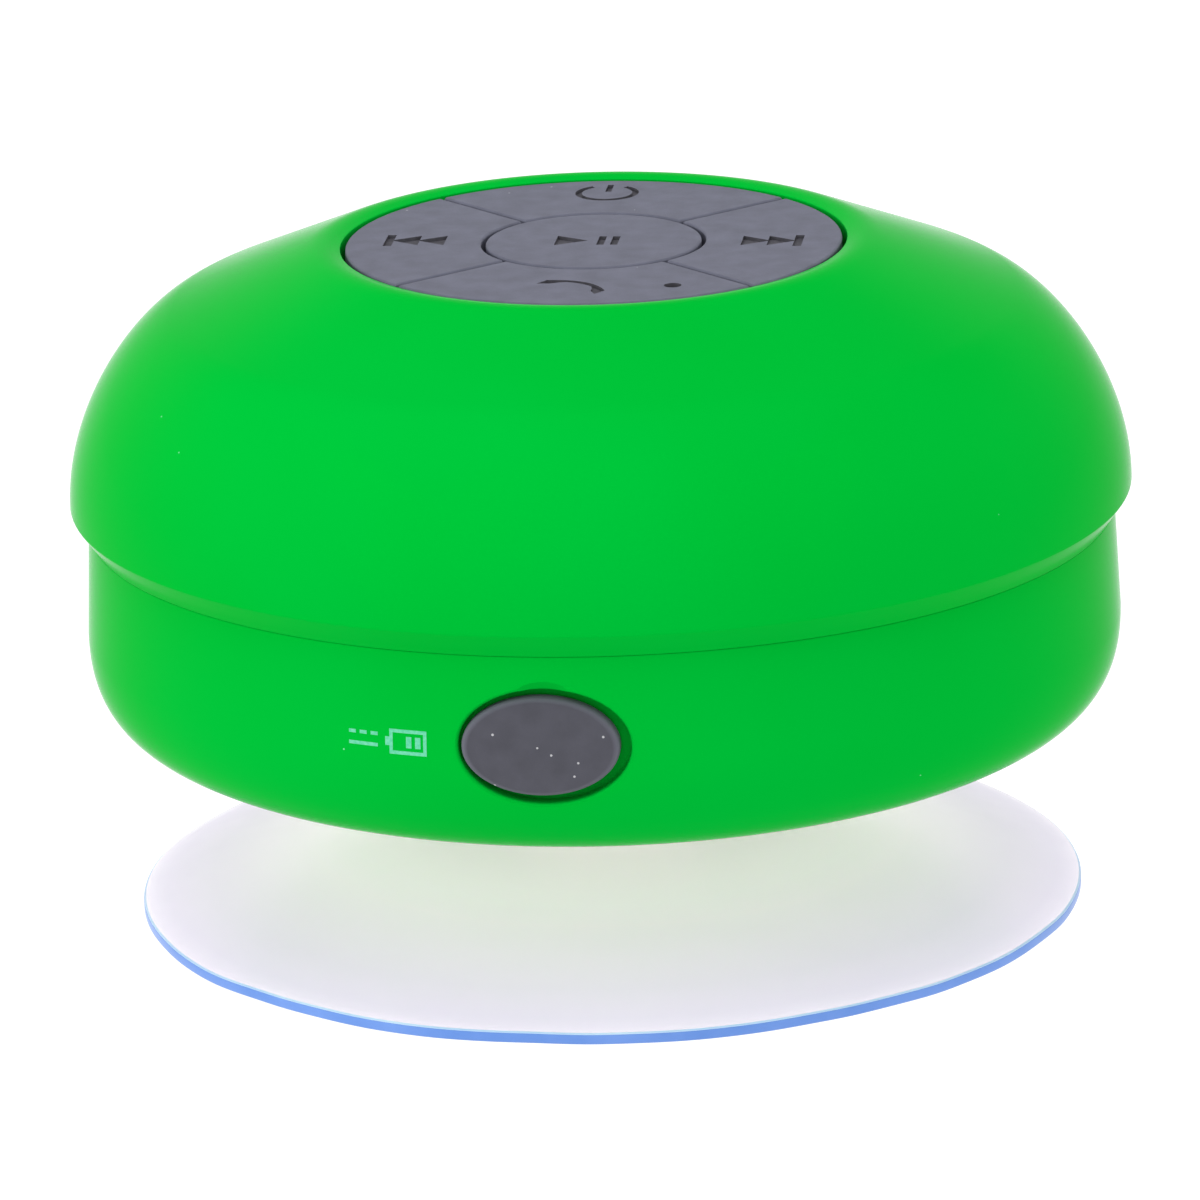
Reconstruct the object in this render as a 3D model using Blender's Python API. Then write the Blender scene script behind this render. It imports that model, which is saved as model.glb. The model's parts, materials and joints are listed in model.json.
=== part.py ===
"""Waterproof dome speaker on a suction cup, as separate solids.

The part stands on the rim of its suction cup with its centre line on Z.
The charging port faces -Y and the power key lies on the +Y side.
All lengths below are millimetres. They become metres when a mesh is made.
"""

from math import cos, pi, radians, sin, tau

import bmesh
import bpy
from mathutils import Matrix, Vector
from mathutils.geometry import interpolate_bezier

MM = 0.001
MERGE = 1e-7

# Roundness of turned pieces, as the number of flats.
SHELL_SIDES = 44
INNER_SIDES = 24
SMALL_SIDES = 16
SCREW_SIDES = 12

# Driving sizes of the two case halves.
GAP = 0.3
WALL = 2.0
RIM_RADIUS = 43.0
RIM_Z = 34.9
BASE_RADIUS = 42.0
BASE_WAIST_Z = 24.05
BASE_TOP_RADIUS = 41.6
BASE_TOP_Z = 32.65
FLOOR_Z = 15.0
FLOOR_TOP_Z = FLOOR_Z + WALL
SEAM = 0.3
DOME_FOOT_Z = BASE_TOP_Z + SEAM
TONGUE_OUTER = 39.9
TONGUE_TOP_Z = 35.0
GASKET_GROOVE = (40.2, 41.0, 0.8)
CROWN_SLOPE = radians(22.0)
CROWN_START = (22.8, 55.12)
CROWN_STRAIGHT_END = 34.0
LIP_EDGE_Z = 55.1
LIP_TOP = (21.9, 55.4)

# Keypad.
RECESS_RADIUS = 20.4
KEYPAD_RADIUS = 20.0
CENTRE_KEY_RADIUS = 8.7
KEY_GROOVE = 0.35
KEY_TOP_Z = 55.05
KEY_THICK = 2.15
KEY_TRAVEL = 0.5
KEY_RING = 14.6
STEM_RADIUS = 1.5
LEDGE_TOP_Z = 50.6
LEDGE_Z = 49.0
LEDGE_INNER = 18.6
MEMBRANE_THICK = 1.0
MIC_RING = 16.2
MIC_ANGLE = radians(-61.0)
MIC_HOLE = 0.7

# Key board under the keypad, and its switches.
KEY_BOARD_Z = 47.0
BOARD_THICK = 1.0
KEY_BOARD_RADIUS = 22.6
KEY_BOARD_SCREW_RING = 20.3
SWITCH_SIDE = 4.6
SWITCH_HEIGHT = 1.6
PLUNGER_RADIUS = 1.2

# Suction cup and its stud.
CUP_RADIUS = 38.5
CUP_LAND = 1.1
CUP_EDGE = 0.9
CUP_HOLLOW = 6.0
CUP_CROWN = 8.2
CUP_NECK_RADIUS = 8.5
CUP_NECK_TOP_Z = 14.6
CUP_SOCKET_RADIUS = 3.5
CUP_SOCKET_Z = 8.0
STUD_RADIUS = 3.0
STUD_FLANGE_RADIUS = 8.5
STUD_TIP_Z = 10.2
STUD_TOP_Z = 18.7

# Charging port and its plug.
PORT_Z = 25.6
RECESS_HALF = (6.7, 4.6)
RECESS_FLOOR_Y = -40.0
PLUG_HALF = (6.14, 3.94)
PLUG_SHIFT = -0.3
PLUG_FACE_Y = -41.9
PLUG_BACK_Y = -40.4
BUNG_TIP_Y = -38.4
BUNG_HALF = (3.5, 1.1)
PLUG_HINGE = (-6.5, -41.8, PORT_Z)
TETHER_X = -5.6

# Loudspeaker, facing down onto the floor of the base.
SOUND_SLOTS = 10
DRIVER_RING_TOP_Z = 19.2
DRIVER_RING = (18.2, 22.9)
DRIVER_SCREW_RING = 21.0
FLANGE_Z = DRIVER_RING_TOP_Z + GAP
PLATE_Z = 29.3
MAGNET_Z = 31.6
YOKE_Z = 36.9
YOKE_TOP_Z = 38.9
COIL_RADII = (6.3, 7.0)
CONE_EDGE = 14.6

# Case screws.
CASE_SCREW_RING = 33.0
CASE_SCREW_HEAD_TOP_Z = 20.0

# Main board.
MAIN_BOARD_Z = 22.8
MAIN_BOARD_THICK = 1.2
MAIN_BOARD_TOP_Z = MAIN_BOARD_Z + MAIN_BOARD_THICK
MAIN_SCREWS = ((-12.0, -30.0), (12.0, -30.0))


# ---------------------------------------------------------------- materials

def material(name, colour, roughness, metallic=0.0):
    """One Principled material, made once for each name."""
    made = bpy.data.materials.get(name)
    if made:
        return made
    made = bpy.data.materials.new(name)
    made.use_nodes = True
    shader = made.node_tree.nodes["Principled BSDF"]
    shader.inputs["Base Color"].default_value = (*colour, 1.0)
    shader.inputs["Roughness"].default_value = roughness
    shader.inputs["Metallic"].default_value = metallic
    made.diffuse_color = (*colour, 1.0)
    return made


def green_shell():
    return material("green_shell", (0.0, 0.52, 0.06), 0.45)


def grey_rubber():
    return material("grey_rubber", (0.19, 0.19, 0.24), 0.6)


def clear_vinyl():
    return material("clear_vinyl", (0.80, 0.82, 0.88), 0.15)


def dark_rubber():
    return material("dark_rubber", (0.02, 0.02, 0.02), 0.7)


def circuit_board():
    return material("circuit_board", (0.01, 0.12, 0.05), 0.5)


def black_plastic():
    return material("black_plastic", (0.02, 0.02, 0.022), 0.4)


def white_plastic():
    return material("white_plastic", (0.75, 0.75, 0.72), 0.45)


def steel():
    return material("steel", (0.55, 0.56, 0.58), 0.3, 1.0)


def ferrite():
    return material("ferrite", (0.05, 0.05, 0.055), 0.55)


def copper():
    return material("copper", (0.72, 0.33, 0.16), 0.3, 1.0)


def pulp():
    return material("pulp", (0.04, 0.04, 0.045), 0.8)


def cell_wrap():
    return material("cell_wrap", (0.55, 0.57, 0.62), 0.35, 0.6)


def red_lead():
    return material("red_lead", (0.55, 0.02, 0.02), 0.45)


# ------------------------------------------------------------------- shapes

def on_circle(radius, angle):
    return (radius * cos(angle), radius * sin(angle))


def four_angles():
    """The four diagonal directions."""
    return [radians(45 + 90 * quarter) for quarter in range(4)]


def three_angles():
    """Three directions, a third of a turn apart, starting at +Y."""
    return [radians(90 + 120 * third) for third in range(3)]


def bezier(start, start_handle, end_handle, end, points):
    """Points along a Bezier curve in the (radius, height) plane."""
    corners = [Vector((x, y, 0.0)) for x, y in (start, start_handle, end_handle, end)]
    return [(p.x, p.y) for p in interpolate_bezier(*corners, points)]


def arc(centre, radius, start, end, points):
    """Points along a circular arc, angles in degrees."""
    step = (end - start) / (points - 1)
    angles = [radians(start + step * i) for i in range(points)]
    return [(centre[0] + radius * cos(a), centre[1] + radius * sin(a)) for a in angles]


def close_up(bm):
    bmesh.ops.remove_doubles(bm, verts=bm.verts, dist=MERGE)
    bmesh.ops.recalc_face_normals(bm, faces=bm.faces)


def add_turned(bm, outline, sides, centre=(0.0, 0.0)):
    """Spin a (radius, height) outline round a vertical axis through centre.

    An outline that starts and ends on the axis makes a solid piece, and any
    other outline is a closed loop that makes a ring. Placed points are tagged,
    so that the next shape in the same mesh leaves them where they are.
    """
    verts = [bm.verts.new((r * MM, 0.0, z * MM)) for r, z in outline]
    on_axis = outline[0][0] == 0.0 and outline[-1][0] == 0.0
    ends = verts[1:] if on_axis else verts[1:] + verts[:1]
    edges = [bm.edges.new((a, b)) for a, b in zip(verts, ends)]
    bmesh.ops.spin(bm, geom=verts + edges, cent=(0, 0, 0), axis=(0, 0, 1),
                   dvec=(0, 0, 0), angle=tau, steps=sides, use_merge=True)
    shift = Vector((centre[0] * MM, centre[1] * MM, 0.0))
    for v in bm.verts:
        if not v.tag:
            v.co += shift
            v.tag = True


def add_prism(bm, outline, low, high, frame=Matrix.Identity(4)):
    """Extrude a flat (x, y) outline from low to high along z of frame."""
    verts = [bm.verts.new((x * MM, y * MM, low * MM)) for x, y in outline]
    face = bm.faces.new(verts)
    made = bmesh.ops.extrude_face_region(bm, geom=[face])["geom"]
    top = [item for item in made if isinstance(item, bmesh.types.BMVert)]
    bmesh.ops.translate(bm, verts=top, vec=(0.0, 0.0, (high - low) * MM))
    bmesh.ops.transform(bm, matrix=frame, verts=verts + top)
    for v in verts + top:
        v.tag = True


def add_box(bm, low, high):
    outline = ((low[0], low[1]), (high[0], low[1]), (high[0], high[1]), (low[0], high[1]))
    add_prism(bm, outline, low[2], high[2])


def ellipse(half_x, half_y, sides, centre=(0.0, 0.0)):
    steps = [tau * i / sides for i in range(sides)]
    return [(centre[0] + half_x * cos(a), centre[1] + half_y * sin(a)) for a in steps]


def tube_outline(inner, outer, low, high):
    return [(inner, low), (outer, low), (outer, high), (inner, high)]


def rod_outline(radius, low, high):
    return [(0.0, low), (radius, low), (radius, high), (0.0, high)]


FACE_MINUS_Y = Matrix.Rotation(pi / 2, 4, "X")
"""Turns a flat outline's y into world z, and its z into world -y."""


def add_port_prism(bm, outline, near_y, far_y):
    """Extrude an (x, z) outline along Y, between two world y values."""
    add_prism(bm, outline, -far_y, -near_y, FACE_MINUS_Y)


# ------------------------------------------------------------------ objects

def empty(name, place, parent=None):
    """A joint's frame: the pieces under it turn or slide about it."""
    made = bpy.data.objects.new(name, None)
    made.empty_display_size = 0.01
    bpy.context.collection.objects.link(made)
    if parent:
        made.parent = parent
    base = parent.matrix_world.translation if parent else Vector()
    made.location = Vector(place) * MM - base
    bpy.context.view_layer.update()
    return made


def piece(name, bm, look, parent):
    """Make an object from a mesh in world millimetres, with its origin on its parent."""
    close_up(bm)
    origin = parent.matrix_world.translation
    bmesh.ops.translate(bm, verts=bm.verts, vec=-origin)
    mesh = bpy.data.meshes.new(name)
    bm.to_mesh(mesh)
    bm.free()
    mesh.materials.append(look)
    mesh.shade_smooth()
    mesh.set_sharp_from_angle(angle=radians(30))
    made = bpy.data.objects.new(name, mesh)
    made.parent = parent
    bpy.context.collection.objects.link(made)
    return made


def tool(name, bm, parent):
    """A cutter or an added shape, which isn't a piece of its own."""
    made = piece(name, bm, black_plastic(), parent)
    made.hide_render = True
    made.display_type = "WIRE"
    return made


def combine(target, other, operation):
    change = target.modifiers.new(other.name, "BOOLEAN")
    change.operation = operation
    change.solver = "EXACT"
    change.object = other


def turned_piece(name, outline, sides, look, parent, centre=(0.0, 0.0)):
    bm = bmesh.new()
    add_turned(bm, outline, sides, centre)
    return piece(name, bm, look, parent)


def screw(name, centre, head, shank, parent, head_below=False):
    """A pan-head screw: head and shank are (radius, low z, high z)."""
    if head_below:
        outline = [(0.0, head[1]), (head[0], head[1]), (head[0], head[2]),
                   (shank[0], head[2]), (shank[0], shank[2]), (0.0, shank[2])]
    else:
        outline = [(0.0, shank[1]), (shank[0], shank[1]), (shank[0], head[1]),
                   (head[0], head[1]), (head[0], head[2]), (0.0, head[2])]
    return turned_piece(name, outline, SCREW_SIDES, steel(), parent, centre)


# --------------------------------------------------------------------- case

def crown_curve(inset, points):
    """The dome's side, from the end of its straight slope to its rim."""
    run = CROWN_STRAIGHT_END - CROWN_START[0]
    top = (CROWN_STRAIGHT_END - inset * sin(CROWN_SLOPE),
           CROWN_START[1] - run * 0.404 - inset * cos(CROWN_SLOPE))
    reach = 4.4
    top_handle = (top[0] + reach * cos(CROWN_SLOPE), top[1] - reach * sin(CROWN_SLOPE))
    rim = (RIM_RADIUS - inset, RIM_Z)
    rim_handle = (rim[0], rim[1] + 7.05)
    return bezier(top, top_handle, rim_handle, rim, points)


def base_curve(inset, points):
    """The base's round lower corner, from its waist down to its flat floor."""
    waist = (BASE_RADIUS - inset, BASE_WAIST_Z)
    floor = (30.0, FLOOR_Z + inset)
    waist_handle = (waist[0], waist[1] - 4.8)
    floor_handle = (floor[0] + 10.3 - inset, floor[1])
    return bezier(waist, waist_handle, floor_handle, floor, points)


def dome_outline():
    """Closed loop: ledge, keypad recess, lip, crown, rim, skirt and inside."""
    skirt = TONGUE_OUTER + GAP
    inside = crown_curve(WALL, 5)[::-1]
    return [
        (LEDGE_INNER, LEDGE_TOP_Z),
        (RECESS_RADIUS, LEDGE_TOP_Z),
        (RECESS_RADIUS, LIP_EDGE_Z - 0.15),
        (RECESS_RADIUS + 0.15, LIP_EDGE_Z),
        (LIP_TOP[0] - 0.6, LIP_TOP[1] - 0.08),
        LIP_TOP,
        CROWN_START,
        *crown_curve(0.0, 7),
        (RIM_RADIUS - 0.25, RIM_Z - 0.4),
        (BASE_TOP_RADIUS + 0.1, DOME_FOOT_Z),
        (skirt, DOME_FOOT_Z),
        (skirt, TONGUE_TOP_Z + GAP),
        (RIM_RADIUS - WALL, TONGUE_TOP_Z + 1.0),
        *inside[1:],
        (24.0, 52.4),
        (22.6, LEDGE_Z),
        (LEDGE_INNER, LEDGE_Z),
    ]


def dome_core_outline():
    """The space inside the middle of the dome's wall, which bounds its posts."""
    side = crown_curve(WALL / 2, 7)
    return [(0.0, 54.0), (21.5, 54.0), *side, (RIM_RADIUS - WALL / 2, 20.0), (0.0, 20.0)]


def dome_shell(parent):
    shell = turned_piece("dome_shell", dome_outline(), SHELL_SIDES, green_shell(), parent)
    core = bmesh.new()
    add_turned(core, dome_core_outline(), SHELL_SIDES)
    posts = bmesh.new()
    holes = bmesh.new()
    foot = BASE_TOP_Z - 1.3
    for angle in four_angles():
        centre = on_circle(CASE_SCREW_RING, angle)
        add_turned(posts, rod_outline(3.0, foot, 53.0), SMALL_SIDES, centre)
        add_turned(holes, rod_outline(1.4, foot - 1.0, 38.0), SCREW_SIDES, centre)
    for angle in three_angles():
        centre = on_circle(KEY_BOARD_SCREW_RING, angle)
        add_turned(posts, rod_outline(2.2, KEY_BOARD_Z + BOARD_THICK + GAP, 50.0), SMALL_SIDES, centre)
        add_turned(holes, rod_outline(1.1, 47.5, 50.0), SCREW_SIDES, centre)
    core_tool = tool("dome_core", core, parent)
    post_tool = tool("dome_posts", posts, parent)
    combine(post_tool, core_tool, "INTERSECT")
    combine(shell, post_tool, "UNION")
    combine(shell, tool("dome_holes", holes, parent), "DIFFERENCE")


def base_outline():
    """Closed loop: outside, stud recess and boss, driver seat, inside, tongue and seal groove."""
    recess = STUD_FLANGE_RADIUS + 1.1
    hole = STUD_RADIUS + 0.4
    recess_z = FLOOR_Z + 1.4
    boss_z = recess_z + WALL
    inside = base_curve(WALL, 4)[::-1]
    groove_inner, groove_outer, groove_depth = GASKET_GROOVE
    groove_z = BASE_TOP_Z - groove_depth
    return [
        (BASE_TOP_RADIUS, BASE_TOP_Z),
        *base_curve(0.0, 6),
        (recess, FLOOR_Z),
        (recess, recess_z),
        (hole, recess_z),
        (hole, boss_z),
        (recess + 1.8, boss_z),
        (recess + 1.8, FLOOR_TOP_Z),
        (DRIVER_RING[0], FLOOR_TOP_Z),
        (DRIVER_RING[0], DRIVER_RING_TOP_Z),
        (DRIVER_RING[1], DRIVER_RING_TOP_Z),
        (DRIVER_RING[1], FLOOR_TOP_Z),
        *inside,
        (TONGUE_OUTER - 1.2, 29.0),
        (TONGUE_OUTER - 1.2, TONGUE_TOP_Z),
        (TONGUE_OUTER, TONGUE_TOP_Z),
        (TONGUE_OUTER, BASE_TOP_Z),
        (groove_inner, BASE_TOP_Z),
        (groove_inner, groove_z),
        (groove_outer, groove_z),
        (groove_outer, BASE_TOP_Z),
    ]


def base_additions():
    """Screw posts, board posts and the thick boss behind the charging port."""
    bm = bmesh.new()
    for angle in four_angles():
        centre = on_circle(CASE_SCREW_RING, angle)
        add_turned(bm, rod_outline(3.6, FLOOR_Z + 1.4, BASE_TOP_Z - 1.6), SMALL_SIDES, centre)
    for centre in MAIN_SCREWS:
        add_turned(bm, rod_outline(2.5, FLOOR_Z + 1.0, MAIN_BOARD_Z - GAP), SMALL_SIDES, centre)
    add_box(bm, (-7.8, -40.6, PORT_Z - 5.0), (7.8, -37.5, PORT_Z + 5.0))
    return bm


def base_cuts():
    """Screw holes, sound slots, and the port's recess, passage and tether hole."""
    bm = bmesh.new()
    below = FLOOR_Z - 1.8
    for angle in four_angles():
        stepped = [(0.0, below), (2.7, below), (2.7, CASE_SCREW_HEAD_TOP_Z),
                   (1.5, CASE_SCREW_HEAD_TOP_Z), (1.5, BASE_TOP_Z), (0.0, BASE_TOP_Z)]
        add_turned(bm, stepped, SMALL_SIDES, on_circle(CASE_SCREW_RING, angle))
    for centre in MAIN_SCREWS:
        add_turned(bm, rod_outline(1.05, 18.0, MAIN_BOARD_Z + 1.0), SCREW_SIDES, centre)
    for angle in three_angles():
        centre = on_circle(DRIVER_SCREW_RING, angle)
        add_turned(bm, rod_outline(1.0, 17.2, DRIVER_RING_TOP_Z + 1.0), SCREW_SIDES, centre)
    for slot in range(SOUND_SLOTS):
        turn = Matrix.Rotation(tau * (slot + 0.5) / SOUND_SLOTS, 4, "Z")
        outline = ((12.3, -0.9), (16.3, -0.9), (16.3, 0.9), (12.3, 0.9))
        add_prism(bm, outline, below, FLOOR_TOP_Z + 0.6, turn)
    recess = ellipse(*RECESS_HALF, 28, (0.0, PORT_Z))
    add_port_prism(bm, recess, -46.0, RECESS_FLOOR_Y)
    return bm


def port_passage():
    """The way through the port boss, and the hole that anchors the plug's tether."""
    bm = bmesh.new()
    low = PORT_Z - 1.6
    high = PORT_Z + 1.6
    add_port_prism(bm, ((-4.0, low), (4.4, low), (4.4, high), (-4.0, high)), -40.8, -36.8)
    add_port_prism(bm, ellipse(0.75, 0.75, SCREW_SIDES, (TETHER_X, PORT_Z)), -40.8, -36.8)
    return bm


def nail_notch():
    """A shallow notch over the plug for a fingernail."""
    bm = bmesh.new()
    outline = ellipse(2.4, 1.5, SMALL_SIDES, (0.0, PORT_Z + RECESS_HALF[1] - 0.55))
    add_port_prism(bm, outline, -46.0, -40.9)
    return bm


def base_shell(parent):
    shell = turned_piece("base_shell", base_outline(), SHELL_SIDES, green_shell(), parent)
    combine(shell, tool("base_additions", base_additions(), parent), "UNION")
    combine(shell, tool("base_cuts", base_cuts(), parent), "DIFFERENCE")
    combine(shell, tool("port_passage", port_passage(), parent), "DIFFERENCE")
    combine(shell, tool("nail_notch", nail_notch(), parent), "DIFFERENCE")


def case(parent):
    dome_shell(parent)
    base_shell(parent)
    inner, outer, depth = GASKET_GROOVE
    clear = 0.15
    gasket = tube_outline(inner + clear, outer - clear, BASE_TOP_Z - depth + clear, DOME_FOOT_Z - clear)
    turned_piece("case_gasket", gasket, SHELL_SIDES, dark_rubber(), parent)
    head = (2.3, CASE_SCREW_HEAD_TOP_Z - 2.0, CASE_SCREW_HEAD_TOP_Z - GAP)
    for number, angle in enumerate(four_angles(), 1):
        centre = on_circle(CASE_SCREW_RING, angle)
        screw(f"case_screw_{number}", centre, head, (1.05, 0.0, 37.5), parent, head_below=True)


# ------------------------------------------------------------- suction cup

def cup_under(radius):
    """Height of the cup's hollow side."""
    inner = CUP_RADIUS - CUP_LAND
    return CUP_HOLLOW * (1.0 - (radius / inner) ** 1.6)


def cup_over(radius):
    """Height of the cup's outer side, above its edge."""
    return CUP_EDGE + CUP_CROWN * (1.0 - (radius / CUP_RADIUS) ** 1.5)


def cup_outline():
    inner = CUP_RADIUS - CUP_LAND
    hollow = [(inner * k / 4, cup_under(inner * k / 4)) for k in range(5)]
    dish_start = CUP_NECK_RADIUS + 3.5
    span = CUP_RADIUS - dish_start
    outside = [(CUP_RADIUS - span * k / 4, cup_over(CUP_RADIUS - span * k / 4)) for k in range(5)]
    neck_foot = cup_over(dish_start) + 2.2
    return [
        *hollow,
        (CUP_RADIUS - 0.2, 0.0),
        (CUP_RADIUS, 0.25),
        *outside,
        (CUP_NECK_RADIUS + 0.9, neck_foot - 1.3),
        (CUP_NECK_RADIUS, neck_foot),
        (CUP_NECK_RADIUS, CUP_NECK_TOP_Z),
        (CUP_SOCKET_RADIUS, CUP_NECK_TOP_Z),
        (CUP_SOCKET_RADIUS, CUP_SOCKET_Z),
        (0.0, CUP_SOCKET_Z),
    ]


def stud_outline():
    """Stud with a flange, a groove for its seal, and a pilot hole from the top."""
    flange_z = CUP_NECK_TOP_Z + GAP
    flange_top = flange_z + 1.2
    groove_z = flange_top - 0.9
    pilot = 1.4
    return [
        (0.0, STUD_TIP_Z),
        (STUD_RADIUS, STUD_TIP_Z),
        (STUD_RADIUS, flange_z),
        (STUD_FLANGE_RADIUS, flange_z),
        (STUD_FLANGE_RADIUS, flange_top),
        (6.4, flange_top),
        (6.4, groove_z),
        (4.6, groove_z),
        (4.6, flange_top),
        (STUD_RADIUS, flange_top),
        (STUD_RADIUS, STUD_TOP_Z),
        (pilot, STUD_TOP_Z),
        (pilot, 12.0),
        (0.0, 12.0),
    ]


def cup_and_stud(cup_parent, stud_parent):
    turned_piece("suction_cup", cup_outline(), SHELL_SIDES, clear_vinyl(), cup_parent)
    turned_piece("cup_stud", stud_outline(), INNER_SIDES, white_plastic(), stud_parent)
    seal_z = CUP_NECK_TOP_Z + GAP + 0.85
    turned_piece("stud_o_ring", arc((5.5, seal_z), 0.45, 0, 300, 6), INNER_SIDES, dark_rubber(), stud_parent)
    washer_z = STUD_TOP_Z + 0.2
    head_z = washer_z + 0.6 + GAP
    turned_piece("stud_washer", tube_outline(1.6, 5.5, washer_z, washer_z + 0.6), INNER_SIDES,
                 steel(), stud_parent)
    screw("stud_screw", (0.0, 0.0), (2.8, head_z, head_z + 1.2), (1.1, 12.6, head_z), stud_parent)


# ------------------------------------------------------------------- keypad

SECTOR_KEYS = (("key_next", 0.0), ("key_power", 90.0), ("key_previous", 180.0), ("key_call", 270.0))


def sector_outline(middle):
    """A quarter of the keypad ring, with straight grooves along its two ends."""
    half = KEY_GROOVE / 2
    inner = CENTRE_KEY_RADIUS + KEY_GROOVE
    points = []
    for radius, count, direction in ((KEYPAD_RADIUS, 13, 1), (inner, 7, -1)):
        reach = radians(45) - half / radius
        for i in range(count):
            angle = radians(middle) + direction * reach * (2 * i / (count - 1) - 1)
            points.append(on_circle(radius, angle))
    return points


def key_body(name, outline, centre, parent):
    """A key cap with a stem under it that reaches through the membrane."""
    frame = empty(name + "_slide", (centre[0], centre[1], KEY_TOP_Z), parent)
    cap = bmesh.new()
    low = KEY_TOP_Z - KEY_THICK
    add_prism(cap, outline, low, KEY_TOP_Z)
    key = piece(name, cap, grey_rubber(), frame)
    stem = bmesh.new()
    add_turned(stem, rod_outline(STEM_RADIUS, LEDGE_TOP_Z, low + 0.8), SCREW_SIDES, centre)
    combine(key, tool(name + "_stem", stem, frame), "UNION")
    return key, frame


def keypad(parent):
    centres = [(0.0, 0.0)]
    disc = ellipse(CENTRE_KEY_RADIUS, CENTRE_KEY_RADIUS, 32)
    key_body("key_play_pause", disc, (0.0, 0.0), parent)
    for name, middle in SECTOR_KEYS:
        centre = on_circle(KEY_RING, radians(middle))
        centres.append(centre)
        key, frame = key_body(name, sector_outline(middle), centre, parent)
        if name == "key_call":
            hole = bmesh.new()
            mic = on_circle(MIC_RING, MIC_ANGLE)
            add_turned(hole, rod_outline(MIC_HOLE, 50.0, 57.0), SCREW_SIDES, mic)
            combine(key, tool("mic_hole", hole, frame), "DIFFERENCE")
    membrane(centres, parent)
    return centres


def membrane(centres, parent):
    """The soft sheet under the keys, resting on the dome's ledge."""
    low = LEDGE_TOP_Z + GAP
    outline = rod_outline(RECESS_RADIUS - GAP, low, low + MEMBRANE_THICK)
    sheet = turned_piece("keypad_membrane", outline, SHELL_SIDES, dark_rubber(), parent)
    holes = bmesh.new()
    for centre in centres:
        add_turned(holes, rod_outline(STEM_RADIUS + 0.4, low - 1, low + 2), SCREW_SIDES, centre)
    mic = on_circle(MIC_RING, MIC_ANGLE)
    add_turned(holes, rod_outline(MIC_HOLE + 0.3, low - 1, low + 2), SCREW_SIDES, mic)
    combine(sheet, tool("membrane_holes", holes, parent), "DIFFERENCE")


def switch(number, centre, parent):
    """A tact switch: a square body with a pocket, and the plunger in it."""
    low = KEY_BOARD_Z + BOARD_THICK + GAP
    high = low + SWITCH_HEIGHT
    half = SWITCH_SIDE / 2
    body = bmesh.new()
    add_box(body, (centre[0] - half, centre[1] - half, low), (centre[0] + half, centre[1] + half, high))
    made = piece(f"switch_body_{number}", body, black_plastic(), parent)
    pocket = bmesh.new()
    add_turned(pocket, rod_outline(PLUNGER_RADIUS + GAP, low + 0.4, high + 1), SCREW_SIDES, centre)
    combine(made, tool(f"switch_pocket_{number}", pocket, parent), "DIFFERENCE")
    frame = empty(f"plunger_slide_{number}", (centre[0], centre[1], high), parent)
    plunger_low = low + 0.4 + GAP + KEY_TRAVEL
    outline = rod_outline(PLUNGER_RADIUS, plunger_low, LEDGE_TOP_Z - GAP)
    turned_piece(f"switch_plunger_{number}", outline, SCREW_SIDES, white_plastic(), frame, centre)


def key_board(centres, parent):
    high = KEY_BOARD_Z + BOARD_THICK
    board = turned_piece("key_board", rod_outline(KEY_BOARD_RADIUS, KEY_BOARD_Z, high), INNER_SIDES,
                         circuit_board(), parent)
    holes = bmesh.new()
    for number, angle in enumerate(three_angles(), 1):
        centre = on_circle(KEY_BOARD_SCREW_RING, angle)
        add_turned(holes, rod_outline(1.1, KEY_BOARD_Z - 1, high + 1), SCREW_SIDES, centre)
        head = (1.8, KEY_BOARD_Z - 1.7, KEY_BOARD_Z - GAP)
        screw(f"key_board_screw_{number}", centre, head, (0.8, 0.0, 49.7), parent, head_below=True)
    combine(board, tool("key_board_holes", holes, parent), "DIFFERENCE")
    for number, centre in enumerate(centres, 1):
        switch(number, centre, parent)
    mic = on_circle(MIC_RING, MIC_ANGLE)
    capsule = rod_outline(2.0, high + GAP, high + GAP + 1.5)
    turned_piece("microphone", capsule, SMALL_SIDES, steel(), parent, mic)


# -------------------------------------------------------------- charge port

def port_plug(parent):
    """Soft oval plug with a bung, which swings out about its left end."""
    frame = empty("plug_hinge", PLUG_HINGE, parent)
    face = bmesh.new()
    add_port_prism(face, ellipse(*PLUG_HALF, 28, (PLUG_SHIFT, PORT_Z)), PLUG_FACE_Y, PLUG_BACK_Y)
    plug = piece("port_plug", face, grey_rubber(), frame)
    bung = bmesh.new()
    low = (PLUG_SHIFT - BUNG_HALF[0], PLUG_BACK_Y - 0.6, PORT_Z - BUNG_HALF[1])
    high = (PLUG_SHIFT + BUNG_HALF[0], BUNG_TIP_Y, PORT_Z + BUNG_HALF[1])
    add_box(bung, low, high)
    combine(plug, tool("port_bung", bung, frame), "UNION")


def port_tether(parent):
    """The plug's strap: a pin through the port boss with a barb behind it."""
    place = (TETHER_X, PORT_Z)
    barb_y = -37.2
    pin = bmesh.new()
    add_port_prism(pin, ellipse(0.5, 0.5, SCREW_SIDES, place), PLUG_BACK_Y + GAP, barb_y + 0.4)
    made = piece("port_plug_tether", pin, grey_rubber(), parent)
    barb = bmesh.new()
    add_port_prism(barb, ellipse(1.2, 1.2, SCREW_SIDES, place), barb_y, barb_y + 1.0)
    combine(made, tool("tether_barb", barb, parent), "UNION")


# --------------------------------------------------------------- main board

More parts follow.
